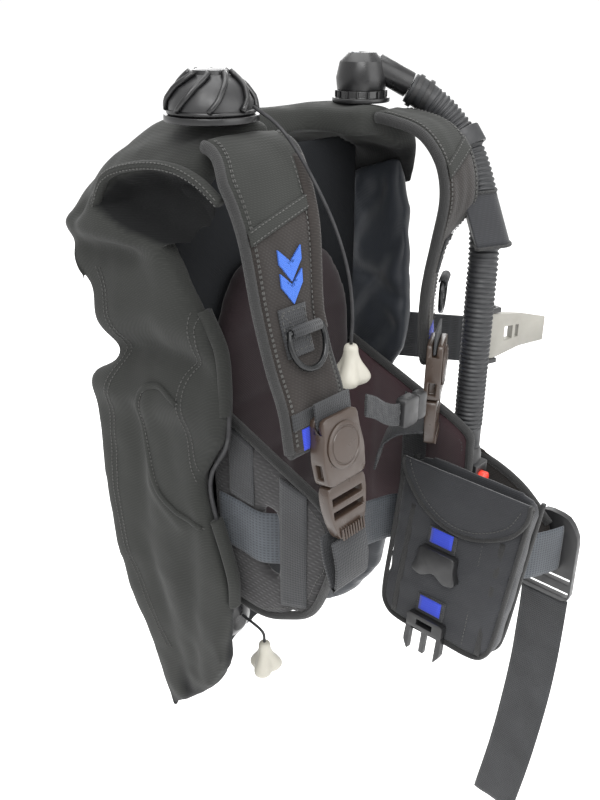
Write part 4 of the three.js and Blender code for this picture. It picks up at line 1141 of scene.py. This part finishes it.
def pocket_band(x, first, second, thickness, steps):
    """A band on the pocket's face; each edge is two (y, z) places in the pocket's frame."""
    edges = [[tuple(c / MM for c in on_pocket(x, y, z)) for y, z in edge] for edge in (first, second)]
    return Band(*edges, thickness, steps)


def bag(points):
    return 0.0008 + rumple(points, 45, 2.2, (1, 1, 0.7), 6.0) + rumple(points, 14, 0.5)


softened("weight_pocket", POUCH, 3.5, 3, bag)
outline = [(67, 80), (68, 0), (68.6, -60), (66.5, -71), (59, -80), (47, -83.5), (0, -83.5), (-33, -83.5),
           (-44, -81), (-51.5, -73), (-54.5, -62), (-60, 0), (-66.5, 80)]
for name, x in (("front", 1.0), ("rear", 21.0)):
    outline_tube(f"pocket_binding_{name}", [on_pocket(x, y, z) for y, z in outline], 2.2, 3.0, TAPE, "vest",
                 False, 120)
for i, y in enumerate((-26, 44)):
    line = [on_pocket(-0.6, y - (0.02 * (z + 70)), z) for z in (-76, -50, -20, 10, 30)]
    stitches(f"pocket_seam_{i}", line, THREAD, "vest")
for i, (y0, y1) in enumerate(((-46, -40), (50, 56))):
    seam = pocket_band(-0.9, [(y0, -78), (y0 - 4, 40)], [(y1, -78), (y1 - 4, 40)], 1.4, 20)
    seam.solid(f"pocket_seam_tape_{i}", TAPE, "vest", "webbing", 6)

flap_edge = [(-66, 84), (-66, 70), (-56, 52), (-34, 38), (-10, 31), (14, 33), (38, 44), (58, 64), (66, 78),
             (66, 84)]
verts, faces = [], []
rows = 12
edge_walk = catmull([mm(0, y, z) for y, z in flap_edge], 48)
for face in (0, 1):
    for j in range(rows + 1):
        for p in edge_walk:
            y = p.y / MM
            z = 84 + (p.z / MM - 84) * j / rows
            bulge = 1.6 * math.sin(math.pi * j / rows) * math.cos(y / 45) + 0.9 * noise.noise(
                Vector((y / 18, z / 16, 1.3)))
            verts.append(on_pocket(-0.9 - (2.4 if face else 0) - max(bulge, 0) - 0.2, y, z))
count = len(edge_walk)
layer = (rows + 1) * count
for face in (0, 1):
    for j in range(rows):
        for k in range(count - 1):
            quad = (face * layer + j * count + k, face * layer + j * count + k + 1,
                    face * layer + (j + 1) * count + k + 1, face * layer + (j + 1) * count + k)
            faces.append(quad if face else quad[::-1])
for j in (0, rows):
    for k in range(count - 1):
        quad = (j * count + k, j * count + k + 1, layer + j * count + k + 1, layer + j * count + k)
        faces.append(quad if j else quad[::-1])
flap = piece("pocket_flap_cloth", verts, faces, POUCH, "flap")
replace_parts(flap, "pocket_flap")
outline_tube("pocket_flap_binding", [on_pocket(-2.6, y, z) for y, z in flap_edge], 2.0, 3.0, TAPE, "flap",
             False, 90)
stitches("pocket_flap_seam", [on_pocket(-4.6, y * 0.9, z + 6) for y, z in flap_edge[1:-1]], THREAD, "flap")
for name, body, z0, z1 in (("upper", "flap", 12, 27), ("lower", "vest", -60, -45)):
    blue = pocket_band(-3.9, [(0, z0), (0, z1)], [(24, z0), (24, z1)], 0.7, 10)
    blue.solid(f"pocket_blue_{name}", BLUE, body, "cordura", 6)


# ---- dump valve cap and elbow hood ----
def valve_cap(node, place, r, h):
    """A ribbed dome of radius r and height h in mm."""
    dome = lathe(node + "_dome", [(r * 0.99, 5.4), (r, 7), (r * 0.98, h * 0.40), (r * 0.80, h * 0.66),
                                  (r * 0.60, h * 0.80), (r * 0.42, h * 0.90), (r * 0.40, h * 0.98),
                                  (r * 0.3, h), (0.2, h)], BLACK, place, "vest", 64)
    rises = [0.22, 0.42, 0.66, 0.80, 0.93]
    reaches = [1.02, 1.0, 0.83, 0.63, 0.44]
    for i in range(8):
        points = []
        for k in range(12):
            angle = 2 * math.pi * i / 8 + 0.8 * k / 11
            reach = r * np.interp(k / 11, np.linspace(0, 1, 5), reaches) + 0.8
            height_here = h * np.interp(k / 11, np.linspace(0, 1, 5), rises) + 0.8
            points.append(place @ mm(reach * math.cos(angle), reach * math.sin(angle), height_here))
        section = oval(0.0021, 0.0021, 10)
        sweep(f"{node}_fin_{i}", points, lambda i: section, GLOSS, "vest")
    rim = [place @ mm(a, b, 7) for a, b in oval(r - 0.4, r - 0.4, 48)]
    section = oval(0.0018, 0.0018, 10)
    sweep(node + "_rim", rim, lambda i: section, GLOSS, "vest", True)
    return dome


DUMP_X = -92
DUMP_Y = -45
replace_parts(valve_cap("dump_valve_cap", Matrix.Translation(mm(DUMP_X, DUMP_Y, 268)), 31.4, 35.6),
            "dump_valve_cap")
coil = [mm(DUMP_X + 7.5 * math.cos(k * 0.5), DUMP_Y + 7.5 * math.sin(k * 0.5), 284.8 + 13.6 * k / 75)
        for k in range(76)]
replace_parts(tube("dump_spring_coil", coil, 0.0008, STEEL, "dump_lift", 8), "dump_spring")
screw = Matrix.Translation(mm(85, -40, 268)) @ Matrix.Rotation(math.radians(-47), 4, "Z")
for i in range(14):
    angle = 2 * math.pi * i / 14
    bar = screw @ Matrix.Translation(mm(21.6 * math.cos(angle), 21.6 * math.sin(angle), 6.6))
    lathe(f"exhaust_vent_{i}", [(0.1, -2.6), (1.2, -2.4), (1.2, 2.9), (0.1, 3.1)], GLOSS, bar, "vest",
          10)
lathe("exhaust_screw", [(0.1, 0), (3.6, 0), (3.8, 0.6), (3.4, 1.4), (0.1, 1.8)], STEEL,
      screw @ Matrix.Translation(mm(-6, -4, 39.4)), "vest", 24)
collar = [mm(*p) for p in HOSE_ROUTE[:2]]
axis = (collar[1] - collar[0]).normalized()
turn = Vector((0, 0, 1)).rotation_difference(axis).to_matrix().to_4x4()
for i, (start, radius) in enumerate(((3, 14.6), (13, 14.8))):
    lathe(f"hose_clamp_{i}", [(13.3, 0), (radius, 0), (radius, 4), (13.3, 4), (13.3, 0)], BLACK,
          Matrix.Translation(collar[0] + axis * start * MM) @ turn, "vest", 40)

# ---- every CAD node that still shows takes a procedural material ----
LOOKS = {"cordura": CORDURA, "strap_cloth": STRAP, "lining": LINING, "webbing": WEBBING,
         "grey_webbing": GREY_WEB, "black_plastic": BLACK, "gloss_black": GLOSS, "brown_plastic": BROWN,
         "grey_plastic": LIGHT, "red_plastic": RED, "rubber": RUBBER, "steel": STEEL,
         "black_metal": BLACK_METAL}
for name, obj in NODES.items():
    for entry in obj.material_slots:
        entry.link = "OBJECT"
        entry.material = LOOKS[slot_of(name)]

# ---- floor and light ----
floor_mesh = bpy.data.meshes.new("floor")
floor_mesh.from_pydata([(-80, -80, 0), (80, -80, 0), (80, 80, 0), (-80, 80, 0)], [], [(0, 1, 2, 3)])
floor = bpy.data.objects.new("floor", floor_mesh)
floor.location = (0, 0, -0.62)
paper = Shader("paper", 0.95, specular=0.1)
paper.bsdf.inputs["Emission Color"].default_value = (1, 1, 1, 1)
paper.bsdf.inputs["Emission Strength"].default_value = 0.15
paper.base(paper.ramp(paper.noise(3, 3), [(0.3, [0.97, 0.97, 0.97, 1]), (0.7, [0.99, 0.99, 0.99, 1])]))
floor_mesh.materials.append(paper.material)
bpy.context.scene.collection.objects.link(floor)


def area_light(name, place, target, size, power):
    data = bpy.data.lights.new(name, "AREA")
    data.shape = "SQUARE"
    data.size = size
    data.energy = power
    light = bpy.data.objects.new(name, data)
    light.location = place
    light.rotation_euler = (Vector(target) - Vector(place)).to_track_quat("-Z", "Y").to_euler()
    bpy.context.scene.collection.objects.link(light)


area_light("key", (-1.4, -1.1, 1.9), (0, 0, 0), 1.6, 60)
area_light("fill", (0.4, -2.2, 0.9), (0, 0, 0), 2.0, 34)
area_light("top", (0.2, 0.3, 2.4), (0, 0, 0), 2.2, 46)
area_light("back", (1.9, 1.6, 1.3), (0, 0, 0), 1.8, 40)
world = bpy.data.worlds.new("studio")
bpy.context.scene.world = world
world.use_nodes = True
world.node_tree.nodes["Background"].inputs["Color"].default_value = (1, 1, 1, 1)
world.node_tree.nodes["Background"].inputs["Strength"].default_value = 1.02
bpy.context.scene.view_settings.view_transform = "Standard"
